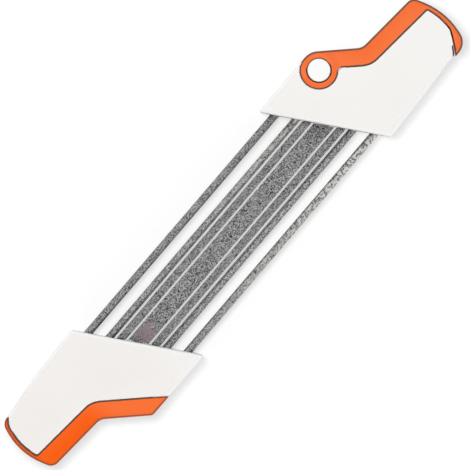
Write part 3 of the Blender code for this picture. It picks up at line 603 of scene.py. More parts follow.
def distance_from(tree, place, height=1.0):
    """Distance of each point from a place, with its height counted in full or left out."""
    moved = add_node(tree, 'ShaderNodeMapping', object_place(tree), Location=-Vector(place),
                     Scale=(1.0, 1.0, height))
    return add_node(tree, 'ShaderNodeVectorMath', moved, operation='LENGTH').output('Value')


def noise(tree, scale, detail=2.0, roughness=0.5, stretch=(1.0, 1.0, 1.0)):
    """Noise over the object, with its coordinates squeezed or stretched along each axis."""
    place = add_node(tree, 'ShaderNodeMapping', object_place(tree), Scale=stretch)
    return add_node(tree, 'ShaderNodeTexNoise', Vector=place, Scale=scale, Detail=detail,
                    Roughness=roughness)


def between_heights(tree, low, low_full, high_full, high):
    """Mask of the surface between two heights, fading out above and below."""
    height = axis(tree, 'Z')
    return height.mask(low, low_full) * height.mask(high, high_full)


def below_top(tree, depths):
    """The same mask, with its four heights given in ledge depths below the handle's top."""
    return between_heights(tree, *(HANDLE_HEIGHT - depth * LEDGE_DEPTH for depth in depths))


# Effects that several materials share

def spark_grain(tree, grain_scale):
    """Fine texture that a spark-eroded mould leaves on plastic."""
    return noise(tree, grain_scale, detail=3.0, roughness=0.6), noise(tree, CLOUD_SCALE, detail=3.0)


def handling(tree, scuff_scale):
    """Masks for the faint scuffs and smudges of handling."""
    long_way = noise(tree, scuff_scale, detail=4.0, roughness=0.7, stretch=(1.0, 14.0, 1.0))
    cross_way = noise(tree, scuff_scale, detail=4.0, roughness=0.7, stretch=(11.0, 1.5, 1.0))
    scuffs = long_way.mask(*LONG_SCUFF_SPAN).maths('MAXIMUM', cross_way.mask(*CROSS_SCUFF_SPAN))
    return scuffs, noise(tree, SMUDGE_SCALE).mask(*SMUDGE_SPAN)


def edge_light(tree, reach):
    """Mask of outer edges, where plastic is polished and steel gets a painted highlight."""
    pointed = add_node(tree, 'ShaderNodeNewGeometry').output('Pointiness')
    return [pointed.mask(LEAST_POINTINESS, reach + FLAT_POINTINESS)]


def rim_line(tree, strength):
    """Painted dark line of shade in the seams, and another round the upper edge of an orange piece."""
    rim = below_top(tree, RIM_SHADE_LINE) * strength
    return [rim.maths('MAXIMUM', below_top(tree, LIP_SHADE_LINE) * LIP_SHADE_LINE_SHARE)]


def along_tool(tree, low, high):
    """Share that grows along the tool, from one place to another."""
    return [axis(tree, 'X').mask(low, high)]


def drawn_lines(tree, line_scale, speck_scale, spread):
    """Streaks that drawing and grinding leave along a steel bar, specks across them, and its grains."""
    lines = noise(tree, line_scale, detail=3.0, roughness=0.6, stretch=(0.02, 1.0, 1.0))
    specks = noise(tree, speck_scale, detail=3.0, roughness=0.7, stretch=(0.6, 1.0, 1.0))
    bands = noise(tree, BAND_SCALE, detail=3.0, roughness=0.6, stretch=(0.25, 1.0, 1.0))
    cells = add_node(tree, 'ShaderNodeTexVoronoi', Vector=object_place(tree), Scale=GRAIN_SCALE)
    grains = add_node(tree, 'ShaderNodeSeparateColor', cells.output('Color'))
    return lines, specks, bands, grains.mask(*GRAIN_SPAN, spread * -1.0 + 1.0, spread + 1.0)


def old_grease(tree, start, amount):
    """Pale greasy blots with painted glints of light on a bar, thicker towards the clamp handle."""
    blots = noise(tree, GREASE_GLINT_SCALE, roughness=0.6).mask(*BLOT_SPAN)
    return [blots * axis(tree, 'X').mask(start, GREASE_GLINT_END) * amount]


SPARK_GRAIN = shared_effect(spark_grain, 'Height', 'Tone', Grain_Scale=PIT_SCALE)
HANDLING = shared_effect(handling, 'Scuffs', 'Smudges', Scuff_Scale=SCUFF_SCALE)
EDGE_LIGHT = shared_effect(edge_light, 'Edges', Reach=POLISH_REACH)
PAINTED_SHADE_LINE = shared_effect(rim_line, 'Share', Strength=1.0)
ALONG_TOOL = shared_effect(along_tool, 'Share', Low=0.0, High=1.0)
DRAWN_LINES = shared_effect(drawn_lines, 'Lines', 'Specks', 'Bands', 'Change', **BAR_SCALES, Spread=0.9)
OLD_GREASE_GLINT = shared_effect(old_grease, 'Share', Start=0.0, Amount=1.0)


# Materials

def new_material(name, colour, roughness, metallic):
    """Material with a Principled shader, its tree and that shader."""
    made = bpy.data.materials.new(name)
    made.use_nodes = True
    shader = made.node_tree.nodes['Principled BSDF']
    set_inputs(shader, Base_Color=colour, Roughness=roughness, Metallic=metallic)
    return made, made.node_tree, shader


def bumps(tree, height, strength, distance):
    return add_node(tree, 'ShaderNodeBump', Strength=strength, Distance=distance, Height=height)


def slot_dirt(tree):
    """Mask of the painted shade in the slot beside the lever's hook."""
    floor = HANDLE_HEIGHT - CATCH_DEPTH
    wall = SWING_RADIUS - CATCH_WIDTH - EDGE_BREAK
    side = CATCH_SHARE * HALF_WIDTH + EDGE_BREAK
    share = between_heights(tree, floor - EDGE_BREAK, floor, HANDLE_HEIGHT - 2 * EDGE_BREAK,
                            HANDLE_HEIGHT - EDGE_BREAK)
    away = distance_from(tree, (*PIVOT, 0.0), height=0.0)
    return (share * away.mask(wall, wall + EDGE_BREAK / 2)
            * axis(tree, 'Y').mask(side + EDGE_BREAK, side)
            * axis(tree, 'X').mask(PIVOT.x, PIVOT.x + EDGE_BREAK))


def moulded_plastic(name, colour, shade, scuffed, roughness, line=0.0, specular=0.5, rim=None,
                    second_tone=None):
    """Satin moulded plastic: spark grain, cloudy tone, smudges, scuffs and polished edges.

    An orange piece has a painted dark line of shade of some strength, and a white body a painted pale rim of
    light and painted shade in its slot.
    A second colour can come in between two places along the tool.
    """
    made, tree, shader = new_material(name, colour, roughness, 0.0)
    grain = use_group(tree, SPARK_GRAIN, Grain_Scale=PIT_SCALE)
    marks = use_group(tree, HANDLING, Scuff_Scale=SCUFF_SCALE)
    edges = use_group(tree, EDGE_LIGHT, Reach=POLISH_REACH)['Edges']
    look = blend(tree, grain['Tone'].mask(*CLOUD_SPAN, 0.0, CLOUD_SHARE), colour, shade)
    look = blend(tree, marks['Scuffs'] * SCUFF_SHARE, look, scuffed)
    look = blend(tree, edges * POLISH_SHARE, look, scuffed)
    # A second colour between two places along the tool, mixed in or multiplied
    if second_tone:
        other, low, high, mode = second_tone
        look = blend(tree, use_group(tree, ALONG_TOOL, Low=low, High=high)['Share'], look, other, mode)
    if rim:
        # Painted light: a paler band round the upper edge of the white body, to offset the shading of its
        # rounding
        look = blend(tree, below_top(tree, PAINTED_LIGHT_RIM) * PAINTED_LIGHT_RIM_SHARE, look, rim)
        # Painted shade: the slot beside the hook darkened to brown
        look = blend(tree, slot_dirt(tree) * SLOT_SHADE_SHARE, look, PAINTED_SHADE_BROWN)
    if line > 0:
        # Painted shade: a dark brown line in the seams and round the upper edge of the piece
        look = blend(tree, use_group(tree, PAINTED_SHADE_LINE, Strength=line)['Share'], look, PAINTED_SHADE_BROWN)
        # Orange as it is seen, but neutral in the light that it throws on its surroundings
        thrown = add_node(tree, 'ShaderNodeLightPath').output('Is Diffuse Ray')
        look = blend(tree, thrown, look, NEUTRAL)
    smudged = marks['Smudges'].mask(0.0, 1.0, roughness, roughness - SMUDGE_GLOSS)
    set_inputs(shader, Base_Color=look, Specular_IOR_Level=specular, IOR=PLASTIC_IOR,
               Roughness=smudged + grain['Height'] * PIT_ROUGHNESS,
               Normal=bumps(tree, grain['Height'], PIT_STRENGTH, PIT_DEPTH))
    return made


def bar_steel(name, colour, dark, bright, roughness, spread, grease_glint=0.0):
    """Drawn or ground steel bar: fine lines along it, specks, and pale greasy blots with painted glints on
    one of the bars.
    """
    made, tree, shader = new_material(name, colour, roughness, 1.0)
    marks = use_group(tree, DRAWN_LINES, **BAR_SCALES, Spread=spread)
    look = blend(tree, marks['Lines'].mask(*NOISE_SPAN), dark, colour)
    look = blend(tree, marks['Specks'].mask(*SPECK_SPAN), look, bright)
    look = blend(tree, 1.0, look, marks['Change'], 'MULTIPLY')
    if grease_glint > 0:
        # Painted highlight: pale greasy blots that stand for glints of light
        share = use_group(tree, OLD_GREASE_GLINT, Start=ROD_GREASE_GLINT_START, Amount=grease_glint)['Share']
        look = blend(tree, share, look, GREASE_GLINT)
    height = marks['Lines'] + marks['Specks'] * 0.5
    set_inputs(shader, Base_Color=look, Normal=bumps(tree, height, LINE_STRENGTH, LINE_DEPTH),
               Roughness=marks['Bands'].mask(*NOISE_SPAN, *(roughness + stray for stray in BAR_ROUGHNESS)))
    return made


def cut_steel(name, colour, dark, bright, roughness, spread, bloom=False, grease_glint=0.0):
    """Hardened file steel: dark specks and a painted highlight on its edges and tooth tips; one file has
    pale greasy blots with painted glints, and one is rusted a little.
    """
    made, tree, shader = new_material(name, colour, roughness, 1.0)
    marks = use_group(tree, DRAWN_LINES, **CUT_SCALES, Spread=spread)
    edges = use_group(tree, EDGE_LIGHT, Reach=EDGE_REACH)['Edges']
    look = blend(tree, marks['Specks'].mask(*TOOTH_SPAN), dark, colour)
    # Painted highlight: edges and tooth tips made brighter
    look = blend(tree, edges * EDGE_HIGHLIGHT_SHARE, look, bright)
    look = blend(tree, 1.0, look, marks['Change'], 'MULTIPLY')
    if grease_glint > 0:
        # Painted highlight: pale greasy blots that stand for glints of light
        share = use_group(tree, OLD_GREASE_GLINT, Start=FILE_GREASE_GLINT_START, Amount=grease_glint)['Share']
        look = blend(tree, share, look, GREASE_GLINT)
    if bloom:
        # Faint reddish bloom around one place
        edge = noise(tree, BLOOM_SCALE, detail=3.0).mask(*NOISE_SPAN, -BLOOM_RAGGED, BLOOM_RAGGED)
        ragged = distance_from(tree, BLOOM_PLACE) + edge
        look = blend(tree, ragged.mask(*BLOOM_REACH, 0.0, BLOOM_SHARE), look, BLOOM)
    set_inputs(shader, Base_Color=look, Normal=bumps(tree, marks['Specks'], SPECK_STRENGTH, SPECK_DEPTH),
               Roughness=marks['Bands'].mask(*NOISE_SPAN, *(roughness + stray for stray in CUT_ROUGHNESS)))
    return made


def grey(tone):
    return tone, tone, tone


# Its rim colour is painted light on the upper edge, and its slot gets painted shade
white_plastic = moulded_plastic('warm_white_handle_plastic', (0.865, 0.85, 0.83), (0.84, 0.825, 0.80),
                                (0.93, 0.92, 0.91), 0.42, rim=(0.99, 0.985, 0.98),
                                second_tone=((0.978, 0.966, 0.962), -80.0 * MM, -100.0 * MM, 'MULTIPLY'))
cap_plastic = moulded_plastic('bright_white_cap_plastic', (0.92, 0.925, 0.925), (0.90, 0.905, 0.905),
                              grey(0.95), 0.40)
orange_plastic = moulded_plastic('orange_lever_plastic', (0.90, 0.168, 0.042), (0.87, 0.135, 0.024),
                                 (0.95, 0.28, 0.11), 0.42, line=0.9, specular=0.22)
grip_plastic = moulded_plastic('orange_grip_plastic', (0.90, 0.108, 0.003), (0.87, 0.098, 0.002),
                               (0.95, 0.25, 0.08), 0.42, line=0.42, specular=0.12,
                               second_tone=((0.91, 0.160, 0.034), -152.0 * MM, -138.0 * MM, 'MIX'))
socket_plastic = moulded_plastic('grey_socket_plastic', (0.50, 0.49, 0.46), (0.44, 0.43, 0.41),
                                 (0.62, 0.61, 0.59), 0.5)
round_file_steel = cut_steel('round_file_steel', grey(0.38), grey(0.28), grey(0.60), 0.50, 0.9)
greasy_glinting_file_steel = cut_steel('greasy_glinting_file_steel', grey(0.38), grey(0.28), grey(0.62), 0.50, 0.85,
                              grease_glint=0.9)
depth_file_steel = cut_steel('depth_file_steel', grey(0.275), grey(0.23), grey(0.40), 0.50, 1.0, bloom=True)
rail_steel = bar_steel('ground_rail_steel', grey(0.25), grey(0.20), grey(0.36), 0.42, 0.9)
rod_steel = bar_steel('drawn_rod_steel', grey(0.28), grey(0.20), grey(0.40), 0.45, 0.9)
greasy_glinting_rod_steel = bar_steel('greasy_glinting_rod_steel', grey(0.28), grey(0.19), grey(0.40), 0.45, 0.9, grease_glint=0.95)
zinc_steel = bar_steel('zinc_plated_steel', (0.56, 0.56, 0.58), (0.44, 0.44, 0.46), (0.68, 0.68, 0.70),
                       0.34, 0.1)
bronze = bar_steel('sintered_bronze', (0.55, 0.36, 0.16), (0.44, 0.28, 0.12), (0.62, 0.44, 0.22), 0.42, 0.15)


# Outlines of a handle and of the seam between its body and its orange piece

def handle_corners(end_shares):
    """Outline of a whole handle in plan, counterclockwise from the sharp tip."""
    waist = WAIST_SHARE * HALF_WIDTH
    shoulder_radius = GRIP_CORNER if end_shares == FIXED_END_SHARES else RING_RADIUS
    return [(face_x(HALF_WIDTH), HALF_WIDTH, TIP_SHARE * HALF_WIDTH),
            (face_x(-HALF_WIDTH), -HALF_WIDTH, HEEL_SHARE * HALF_WIDTH),
            *in_place(end_shares),
            (SHOULDER - waist, waist, WAIST_RADIUS_SHARE * HALF_WIDTH),
            (SHOULDER - HALF_WIDTH, HALF_WIDTH, shoulder_radius)]


def body_corners(has_lever):
    """Outline of the white body in plan, open wide where the handle's own outline bounds it."""
    seam = in_place(LEVER_SEAM_SHARES if has_lever else FIXED_SEAM_SHARES)
    near = face_x(ASIDE) - OVERRUN
    run_start = RUN_START_SHARE * HALF_WIDTH
    inner_shoulder = SHOULDER - GRIP_WIDTH * DIAGONAL
    corners = [(near, ASIDE, 0.0), (near, -ASIDE, 0.0), (seam[0][0], -ASIDE, 0.0), *seam,
               (inner_shoulder - run_start, run_start, RUN_RADIUS_SHARE * HALF_WIDTH)]
    if has_lever:
        height = FORK_SEAM_SHARE * HALF_WIDTH
        return corners + [(inner_shoulder - height, height, SEAM_GAP), (PIVOT.x, height, 0.0),
                          (PIVOT.x, ASIDE, 0.0)]
    return corners + [(inner_shoulder - ASIDE, ASIDE, 0.0)]


def handle_solid(margin, end_shares, name='part'):
    """The handle's outer form with soft edges, or that form shrunk all round by a margin."""
    rounding = EDGE_RADIUS - margin
    quarter = [math.pi / 2 * step / EDGE_STEPS for step in range(EDGE_STEPS + 1)]
    levels = [(margin + rounding * (1 - math.sin(a)), margin + rounding * (1 - math.cos(a)))
              for a in quarter]
    levels += [(inset, HANDLE_HEIGHT - height) for inset, height in reversed(levels)]
    corners = handle_corners(end_shares)
    return solid_from_loops([[(x, y, height) for x, y in rounded_outline(corners, inset)]
                             for inset, height in levels], name)


def body_prism(has_lever, margin):
    """Upright cutter over the white body's plan, grown by a margin."""
    made = prism(rounded_outline(body_corners(has_lever), -margin))
    if has_lever:
        keep(made, post(SWING_RADIUS + margin, 2 * BELOW, ABOVE + OVERRUN, sides=SWING_SIDES))
    return made


def catch_room(margin):
    """Slot beside the lever's hook, open at the top of the white body, grown by a margin."""
    room = box((PIVOT.x, -ASIDE, HANDLE_HEIGHT - CATCH_DEPTH - margin),
               (BEYOND, CATCH_SHARE * HALF_WIDTH + margin, ABOVE + OVERRUN))
    return cut(room, post(SWING_RADIUS - CATCH_WIDTH - margin, 0.0, ABOVE + 2 * OVERRUN,
                          sides=SWING_SIDES))


def broken_edges(piece, end_shares):
    """Break the sharp edges of a piece where they lie on the surface of its handle's outer form."""
    with edited(piece.data) as mesh:
        bmesh.ops.remove_doubles(mesh, verts=mesh.verts, dist=SLIVER)
        bmesh.ops.dissolve_degenerate(mesh, edges=mesh.edges, dist=SLIVER)
    outer = handle_solid(0.0, end_shares)
    surface = BVHTree.FromObject(outer, bpy.context.evaluated_depsgraph_get())
    bpy.data.objects.remove(outer)
    with edited(piece.data) as mesh:
        weights = mesh.edges.layers.float.new('bevel_weight_edge')
        for edge in mesh.edges:
            if len(edge.link_faces) != 2 or edge.calc_face_angle(0.0) < math.radians(BREAK_ANGLE):
                continue
            middle = (edge.verts[0].co + edge.verts[1].co) / 2
            if surface.find_nearest(middle, EDGE_BREAK)[0] is not None:
                edge[weights] = 1.0
    bevel = piece.modifiers.new('broken_edges', 'BEVEL')
    bevel.width = EDGE_BREAK
    bevel.segments = BEVEL_STEPS
    bevel.limit_method = 'WEIGHT'
    bevel.use_clamp_overlap = False
    finished_by_modifiers(piece)
    for vertex in piece.data.vertices:
        place, normal, _, _ = surface.find_nearest(vertex.co)
        if (vertex.co - place).dot(normal) > MERGE_REACH:
            vertex.co = place
    return smooth_faces(piece)


# Handle bodies

def screw_nodes(prefix):
    """Names of a handle's four screws."""
    return [prefix + '_screw_' + str(number) for number in range(1, SCREW_COUNT + 1)]


def screw_places(prefix):
    """Centres of a handle's four screws in plan, in handle coordinates."""
    places = []
    for node in screw_nodes(prefix):
        low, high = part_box(node)
        centre = (low + high) / 2
        if prefix == 'fixed_handle':
            centre = HALF_TURN @ centre
        places.append((centre.x, centre.y))
    return places


def lug_boxes(margin):
    """Two lugs that hold the fixed handle's grip, or their windows when grown by a margin."""
    height = (RUN_START_SHARE + FIXED_SEAM_SHARES[-1][1]) / 2 * HALF_WIDTH
    reach = 2 * WALL + margin
    half = WALL + margin
    middles = [FACE_REACH + share * HANDLE_LENGTH for share in LUG_SHARES]
    return [box((x - half, height - reach, MID - half), (x + half, height + reach, MID + half))
            for x in middles]


def whole_shell(has_lever, end_shares):
    """Hollow white body of one handle, before it is parted into two halves."""
    shell = handle_solid(0.0, end_shares, 'whole')
    region = body_prism(has_lever, 0.0)
    cavity = handle_solid(WALL, end_shares)
    inner = body_prism(has_lever, -WALL)
    if has_lever:
        side = RING_RADIUS - FIT_GAP
        join(region, post(side, LOWER_SEAT, TOP_SEAT))
        join(inner, post(side - WALL))
        cut(region, catch_room(0.0))
        cut(inner, catch_room(WALL))
    keep(shell, region)
    keep(cavity, inner)
    if has_lever:
        recess = RING_RADIUS + FIT_GAP
        for low, high in ((TOP_SEAT - FIT_GAP - WALL, HANDLE_HEIGHT), (0.0, LOWER_SEAT + FIT_GAP + WALL)):
            cut(cavity, post(recess + WALL, low, high))
        for low, high in ((TOP_SEAT - FIT_GAP, ABOVE), (BELOW, LOWER_SEAT + FIT_GAP)):
            cut(shell, post(recess, low, high),
                box((PIVOT.x - THIN_TIP_SHARE * RING_RADIUS, HALF_WIDTH - WALL / 2, low),
                    (PIVOT.x, ASIDE, high)))
        cut(shell, post(SHAFT_RADIUS + FIT_GAP))
    window = [(face_x(side) + depth, side)
              for depth, side in ((-OVERRUN, WINDOW_HALF_WIDTH), (-OVERRUN, -WINDOW_HALF_WIDTH),
                                  (2 * WALL, -WINDOW_HALF_WIDTH), (2 * WALL, WINDOW_HALF_WIDTH))]
    cut(shell, cavity, prism(window, MID - WINDOW_HALF_HEIGHT, MID + WINDOW_HALF_HEIGHT))
    if not has_lever:
        cut(shell, *lug_boxes(FIT_GAP))
    return shell


def shell_half(name, whole, prefix, upper):
    """One half of a handle body, with its screw bosses and ribs."""
    half = in_scene(name, whole.data.copy())
    low, high = (MID + FIT_GAP / 2, ABOVE) if upper else (BELOW, MID - FIT_GAP / 2)
    keep(half, box((0.0, -ASIDE, low), (BEYOND, ASIDE, high)))
    inner = HANDLE_HEIGHT - WALL / 2 if upper else WALL / 2
    rib_edge = inner - RIB_DEPTH if upper else inner + RIB_DEPTH
    for share in RIB_SHARES:
        x = FACE_REACH + share * HANDLE_LENGTH
        join(half, box((x, -HALF_WIDTH + EDGE_RADIUS, min(inner, rib_edge)),
                       (x + RIB_THICKNESS, FIXED_SEAM_SHARES[-1][1] * HALF_WIDTH - 2 * WALL,
                        max(inner, rib_edge))))
    hole = SCREW_RADIUS + FIT_GAP
    head_hole = SCREW_HEAD_RADIUS + FIT_GAP
    for index, place in enumerate(screw_places(prefix)):
        drill = partial(post, centre=place, sides=BAR_SIDES)
        in_block = index < SCREWS_IN_BLOCK
        if upper:
            foot = MID + RIB_DEPTH if in_block else MID + FIT_GAP / 2
            join(half, drill(hole + SHELL_BOSS_WALL, foot, inner))
            cut(half, drill(hole, BELOW, inner - WALL / 2))
        else:
            top = SCREW_RECESS + WALL if in_block else MID - FIT_GAP / 2
            join(half, drill(head_hole + SHELL_BOSS_WALL, inner, top))
            cut(half, drill(head_hole, BELOW, SCREW_RECESS), drill(hole, BELOW, MID))
    return half


def make_shells(prefix, body, has_lever):
    """Both white halves of one handle, with soft edges where they show."""
    end_shares = BODY_END_SHARES if has_lever else FIXED_END_SHARES
    whole = whole_shell(has_lever, end_shares)
    for half_name, upper in (('top', True), ('bottom', False)):
        half = shell_half(prefix + '_shell_' + half_name, whole, prefix, upper)
        broken_edges(half, end_shares)
        dressed(half, white_plastic, body, 'white_plastic', prefix + '_' + half_name,
                turned_round=not has_lever)
    bpy.data.objects.remove(whole)


# Orange pieces and caps

def seam_path(has_lever, margin, last_height):
    """Points along a seam, from the side round the end to a height on the arm, moved outwards."""
    points = rounded_outline(body_corners(has_lever), -margin)
    first = max(index for index, point in enumerate(points) if point.y < -HALF_WIDTH) + 1
    points = points[first:]
    path = []
    for point, following in zip(points, points[1:]):
        path.append(point)
        if following.y > last_height:
            share = (last_height - point.y) / (following.y - point.y)
            return path + [point.lerp(following, share)]


def seam_lip(has_lever, first_height, last_height):
    """Lip that closes the seam below the surface, so that no light comes through it."""
    # The top of the lip lies in the band that the orange material paints dark brown, a painted shade in the
    # seam
    near = seam_path(has_lever, LIP_GAP, last_height)
    far = seam_path(has_lever, SEAM_WIDTH + 2 * LIP_GAP, last_height)
    kept = [pair for pair in zip(near, far) if pair[0].y > first_height]
    outline = [pair[1] for pair in kept] + [pair[0] for pair in reversed(kept)]
    return smooth_by_angle(prism(outline, LEDGE_DEPTH + LIP_GAP, HANDLE_HEIGHT - LEDGE_DEPTH - LIP_GAP))


def joined_meshes(piece, other):
    """Another piece added to a piece as it is."""
    with bpy.context.temp_override(active_object=piece, selected_editable_objects=[piece, other]):
        bpy.ops.object.join()


def make_grip():
    """Orange grip of the fixed handle, held by two lugs between the halves of the body."""
    made = cut(handle_solid(0.0, FIXED_END_SHARES, 'fixed_grip'), body_prism(False, SEAM_WIDTH))
    broken_edges(made, FIXED_END_SHARES)
    join(made, *lug_boxes(0.0))
    joined_meshes(made, seam_lip(False, -HALF_WIDTH, LIP_END_SHARES[0] * HALF_WIDTH))
    dressed(made, grip_plastic, 'frame', 'orange_plastic', 'fixed_handle_grip', turned_round=True)


def lever_rings():
    """The lever's upper ring, which steps in to a rounded crown, and its lower ring."""
    step = HANDLE_HEIGHT - LEDGE_DEPTH - LIP_GAP
    crown = RING_RADIUS - RING_LEDGE
    rim = RING_FILLET
    upper = [(RING_RADIUS, TOP_SEAT), (RING_RADIUS, step), (crown, step),
             *fillet(crown - rim, crown, RING_TOP - rim, RING_TOP)]
    soft_foot = upside_down(fillet(RING_RADIUS - rim, RING_RADIUS, LOWER_SEAT - rim, LOWER_SEAT),
                            FIT_GAP + LOWER_SEAT)
    return turned(upper), turned([*soft_foot, (RING_RADIUS, LOWER_SEAT)])


def lever_pocket():
    """Room inside the lever's arm, parted by its ribs."""
    pocket = cut(handle_solid(LEVER_WALL, LEVER_END_SHARES), body_prism(True, -WALL))
    start = PIVOT.x + NECK_RADIUS + LEVER_WALL
    end = FACE_REACH + HANDLE_LENGTH - 3 * BAND_THICKNESS - LEVER_WALL
    keep(pocket, box((start, -HALF_WIDTH / 2, 0.0), (end, HALF_WIDTH, HANDLE_HEIGHT)))
    for rib in range(1, LEVER_CELLS):
        x = start + (end - start) * rib / LEVER_CELLS
        cut(pocket, box((x, -HALF_WIDTH, BELOW), (x + RIB_THICKNESS, HALF_WIDTH, ABOVE)))
    return pocket


def make_lever():
    """Orange lever: two rings around the pivot, a hollow arm, a band round the end and its hook."""
    made = cut(handle_solid(0.0, LEVER_END_SHARES, 'clamp_lever'), body_prism(True, SEAM_WIDTH))
    keep(made, box((0.0, -ASIDE, FIT_GAP), (BEYOND, ASIDE, ABOVE)))
    cut(made, post(NECK_RADIUS, LOWER_SEAT, TOP_SEAT))
    groove = post(RING_RADIUS + RING_GROOVE, HANDLE_HEIGHT - RING_GROOVE, RING_TOP)
    cut(made, cut(groove, post(RING_RADIUS - RING_LEDGE - RING_FILLET, 0.0, RING_TOP + OVERRUN)))
    join(made, *lever_rings())
    square = HUB_SQUARE / DIAGONAL + FIT_GAP * DIAGONAL
    moat = CAP_RADIUS + CAP_MOAT
    soft_rim = fillet(moat + EDGE_BREAK, moat, RING_TOP, RING_TOP - EDGE_BREAK)
    cap_room = turned([(moat, RING_TOP - CAP_THICKNESS - FIT_GAP), *reversed(soft_rim),
                       (moat + EDGE_BREAK, RING_TOP + OVERRUN)])
    cut(made, lever_pocket(), prism(circle(square, 4, turn=math.pi / 4)), cap_room,
        post(CAP_RADIUS + FIT_GAP, BELOW, FIT_GAP + LOWER_CAP_THICKNESS + FIT_GAP))
    broken_edges(made, LEVER_END_SHARES)
    joined_meshes(made, seam_lip(True, FAR_LIP_SHARE * HALF_WIDTH, LIP_END_SHARES[1] * HALF_WIDTH))
    dressed(made, orange_plastic, 'lever', 'orange_plastic', 'lever')


def make_caps():
    """White caps over both ends of the crank, each with a softly rounded rim and a stem."""
    stem = SCREW_RADIUS - FIT_GAP
    stem_length = CAP_RADIUS / 3
    under = RING_TOP - CAP_THICKNESS
    crown = RING_TOP - FIT_GAP / 2
    seat = FIT_GAP + LOWER_CAP_THICKNESS
    lower_rim = upside_down(fillet(CAP_RADIUS - EDGE_BREAK, CAP_RADIUS, seat - EDGE_BREAK, seat),
                            seat + FIT_GAP)
    caps = {'top': [(stem, under - stem_length), (stem, under), (CAP_RADIUS, under),
                    *fillet(CAP_RADIUS - CAP_FILLET, CAP_RADIUS, crown - CAP_FILLET, crown)],
            'bottom': [*lower_rim, (CAP_RADIUS, seat), (stem, seat), (stem, seat + stem_length)]}
    for end, profile in caps.items():
        cap = smooth_faces(turned(profile, 'cap_' + end))
        dressed(cap, cap_plastic, 'lever', 'white_plastic', 'pivot_cap_' + end)


# Rails and rods

def make_rail(hand, y):
    """Steel rail with rounded corners, cut at the handles' slant, and a tenon at each end."""
    reach = FACE_REACH - SHOULDER_GAP
    half = RAIL_WIDTH / 2
    low, high = RAIL_BED, RAIL_BED + RAIL_THICKNESS
    corner = RAIL_CORNER
    section = []
    for index, (across, height) in enumerate(((half, high), (-half, high), (-half, low), (half, low))):
        middle = (across - math.copysign(corner, across), height + (corner if height == low else -corner))
        for step in range(CORNER_STEPS + 1):
            angle = math.pi / 2 * (index + step / CORNER_STEPS)
            section.append((middle[0] + corner * math.cos(angle), middle[1] + corner * math.sin(angle)))
    loops = []
    for end, shrink in ((-reach, EDGE_BREAK), (-reach + EDGE_BREAK, 0.0),
                        (reach - EDGE_BREAK, 0.0), (reach, EDGE_BREAK)):
        loop = []
        for across, height in section:
            across *= 1 - shrink / half
            height += (MID_RAIL - height) * shrink / (RAIL_THICKNESS / 2)
            loop.append((end - (y + across) * SLANT, y + across, height))
        loops.append(loop)
    rail = solid_from_loops(loops, 'rail_' + hand)
    tenon = half - SHOULDER_GAP
    join(rail, box((-face_x(-y) - FIXED_SEAT, y - tenon, low + SHOULDER_GAP),
                   (face_x(y) + CLAMP_SEAT, y + tenon, high - SHOULDER_GAP)))
    smooth_faces(rail)
    dressed(rail, rail_steel, 'frame', 'rail_steel', 'guide_rail_' + hand)


def make_rod(hand, side, material, *pins):
    """Round rod with chamfered ends, over the whole length of its CAD node, drilled for its pins."""
    node = 'guide_rod_' + hand
    low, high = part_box(node)
    chamfer = 2 * EDGE_BREAK
    profile = [(low.x, ROD_RADIUS - chamfer), (low.x + chamfer, ROD_RADIUS)]
    if side < 0:
        clip_low, clip_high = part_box('stop_clip')
        depth = ROD_RADIUS - GROOVE_DEPTH
        near, far = clip_low.x - FIT_GAP, clip_high.x + FIT_GAP
        profile += [(near, ROD_RADIUS), (near, depth), (far, depth), (far, ROD_RADIUS)]
    profile += [(high.x - chamfer, ROD_RADIUS), (high.x, ROD_RADIUS - chamfer)]
    rod = solid_from_loops([[(x, y, z) for y, z in circle(radius, BAR_SIDES, (side * ROD_OFFSET, MID))]
                            for x, radius in profile], 'rod_' + hand)
    for pin in pins:
        pin_low, pin_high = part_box(pin)
        centre = (pin_low + pin_high) / 2
        hole = (pin_high.x - pin_low.x) / 2 + FIT_GAP
        cut(rod, post(hole, 0.0, HANDLE_HEIGHT, centre, BAR_SIDES))
    smooth_faces(rod)
    dressed(rod, material, 'frame', 'rod_steel', node)


# Files and screws, made with geometry nodes

def geometry_group(name, sizes, **counts):
    """Geometry node group with the given sizes and counts as inputs, and a material."""
    return new_group('GeometryNodeTree', name,
                     {'Geometry': None, **dict.fromkeys(sizes, MM),
                      **{label.replace('_', ' '): count for label, count in counts.items()},
                      'Material': None}, ['Geometry'])


def position_parts(tree):
    """The three parts of each point's position."""
    x = add_node(tree, 'ShaderNodeSeparateXYZ', add_node(tree, 'GeometryNodeInputPosition'))
    return x, x.output('Y'), x.output('Z')


def moved_to(tree, geometry, x, y, z, chosen=None):
    """Geometry with its points, or the chosen ones, set to a new place."""
    place = add_node(tree, 'ShaderNodeCombineXYZ', x, y, z)
    return add_node(tree, 'GeometryNodeSetPosition', geometry, chosen, place)


def finished_tree(tree, geometry, given, result):
    """End of a tree: real mesh instead of instances, with its material."""
    realized = add_node(tree, 'GeometryNodeRealizeInstances', geometry)
    feed(result['Geometry'], add_node(tree, 'GeometryNodeSetMaterial', realized, None, given['Material']))
    return tree


def grown(name, points, tree, **values):
    """Plain mesh that a tree makes from some points, with the tree's inputs set by name."""
    data = bpy.data.meshes.new(name)
    data.from_pydata(points, [], [])
    piece = in_scene(name, data)
    modifier = piece.modifiers.new('tree', 'NODES')
    modifier.node_group = tree
    sockets = {item.name: item.identifier for item in tree.interface.items_tree if item.in_out == 'INPUT'}
    for label, value in values.items():
        modifier[sockets[label.replace('_', ' ')]] = value
    finished_by_modifiers(piece)
    with edited(piece.data) as mesh:
        bmesh.ops.recalc_face_normals(mesh, faces=mesh.faces)
    return piece


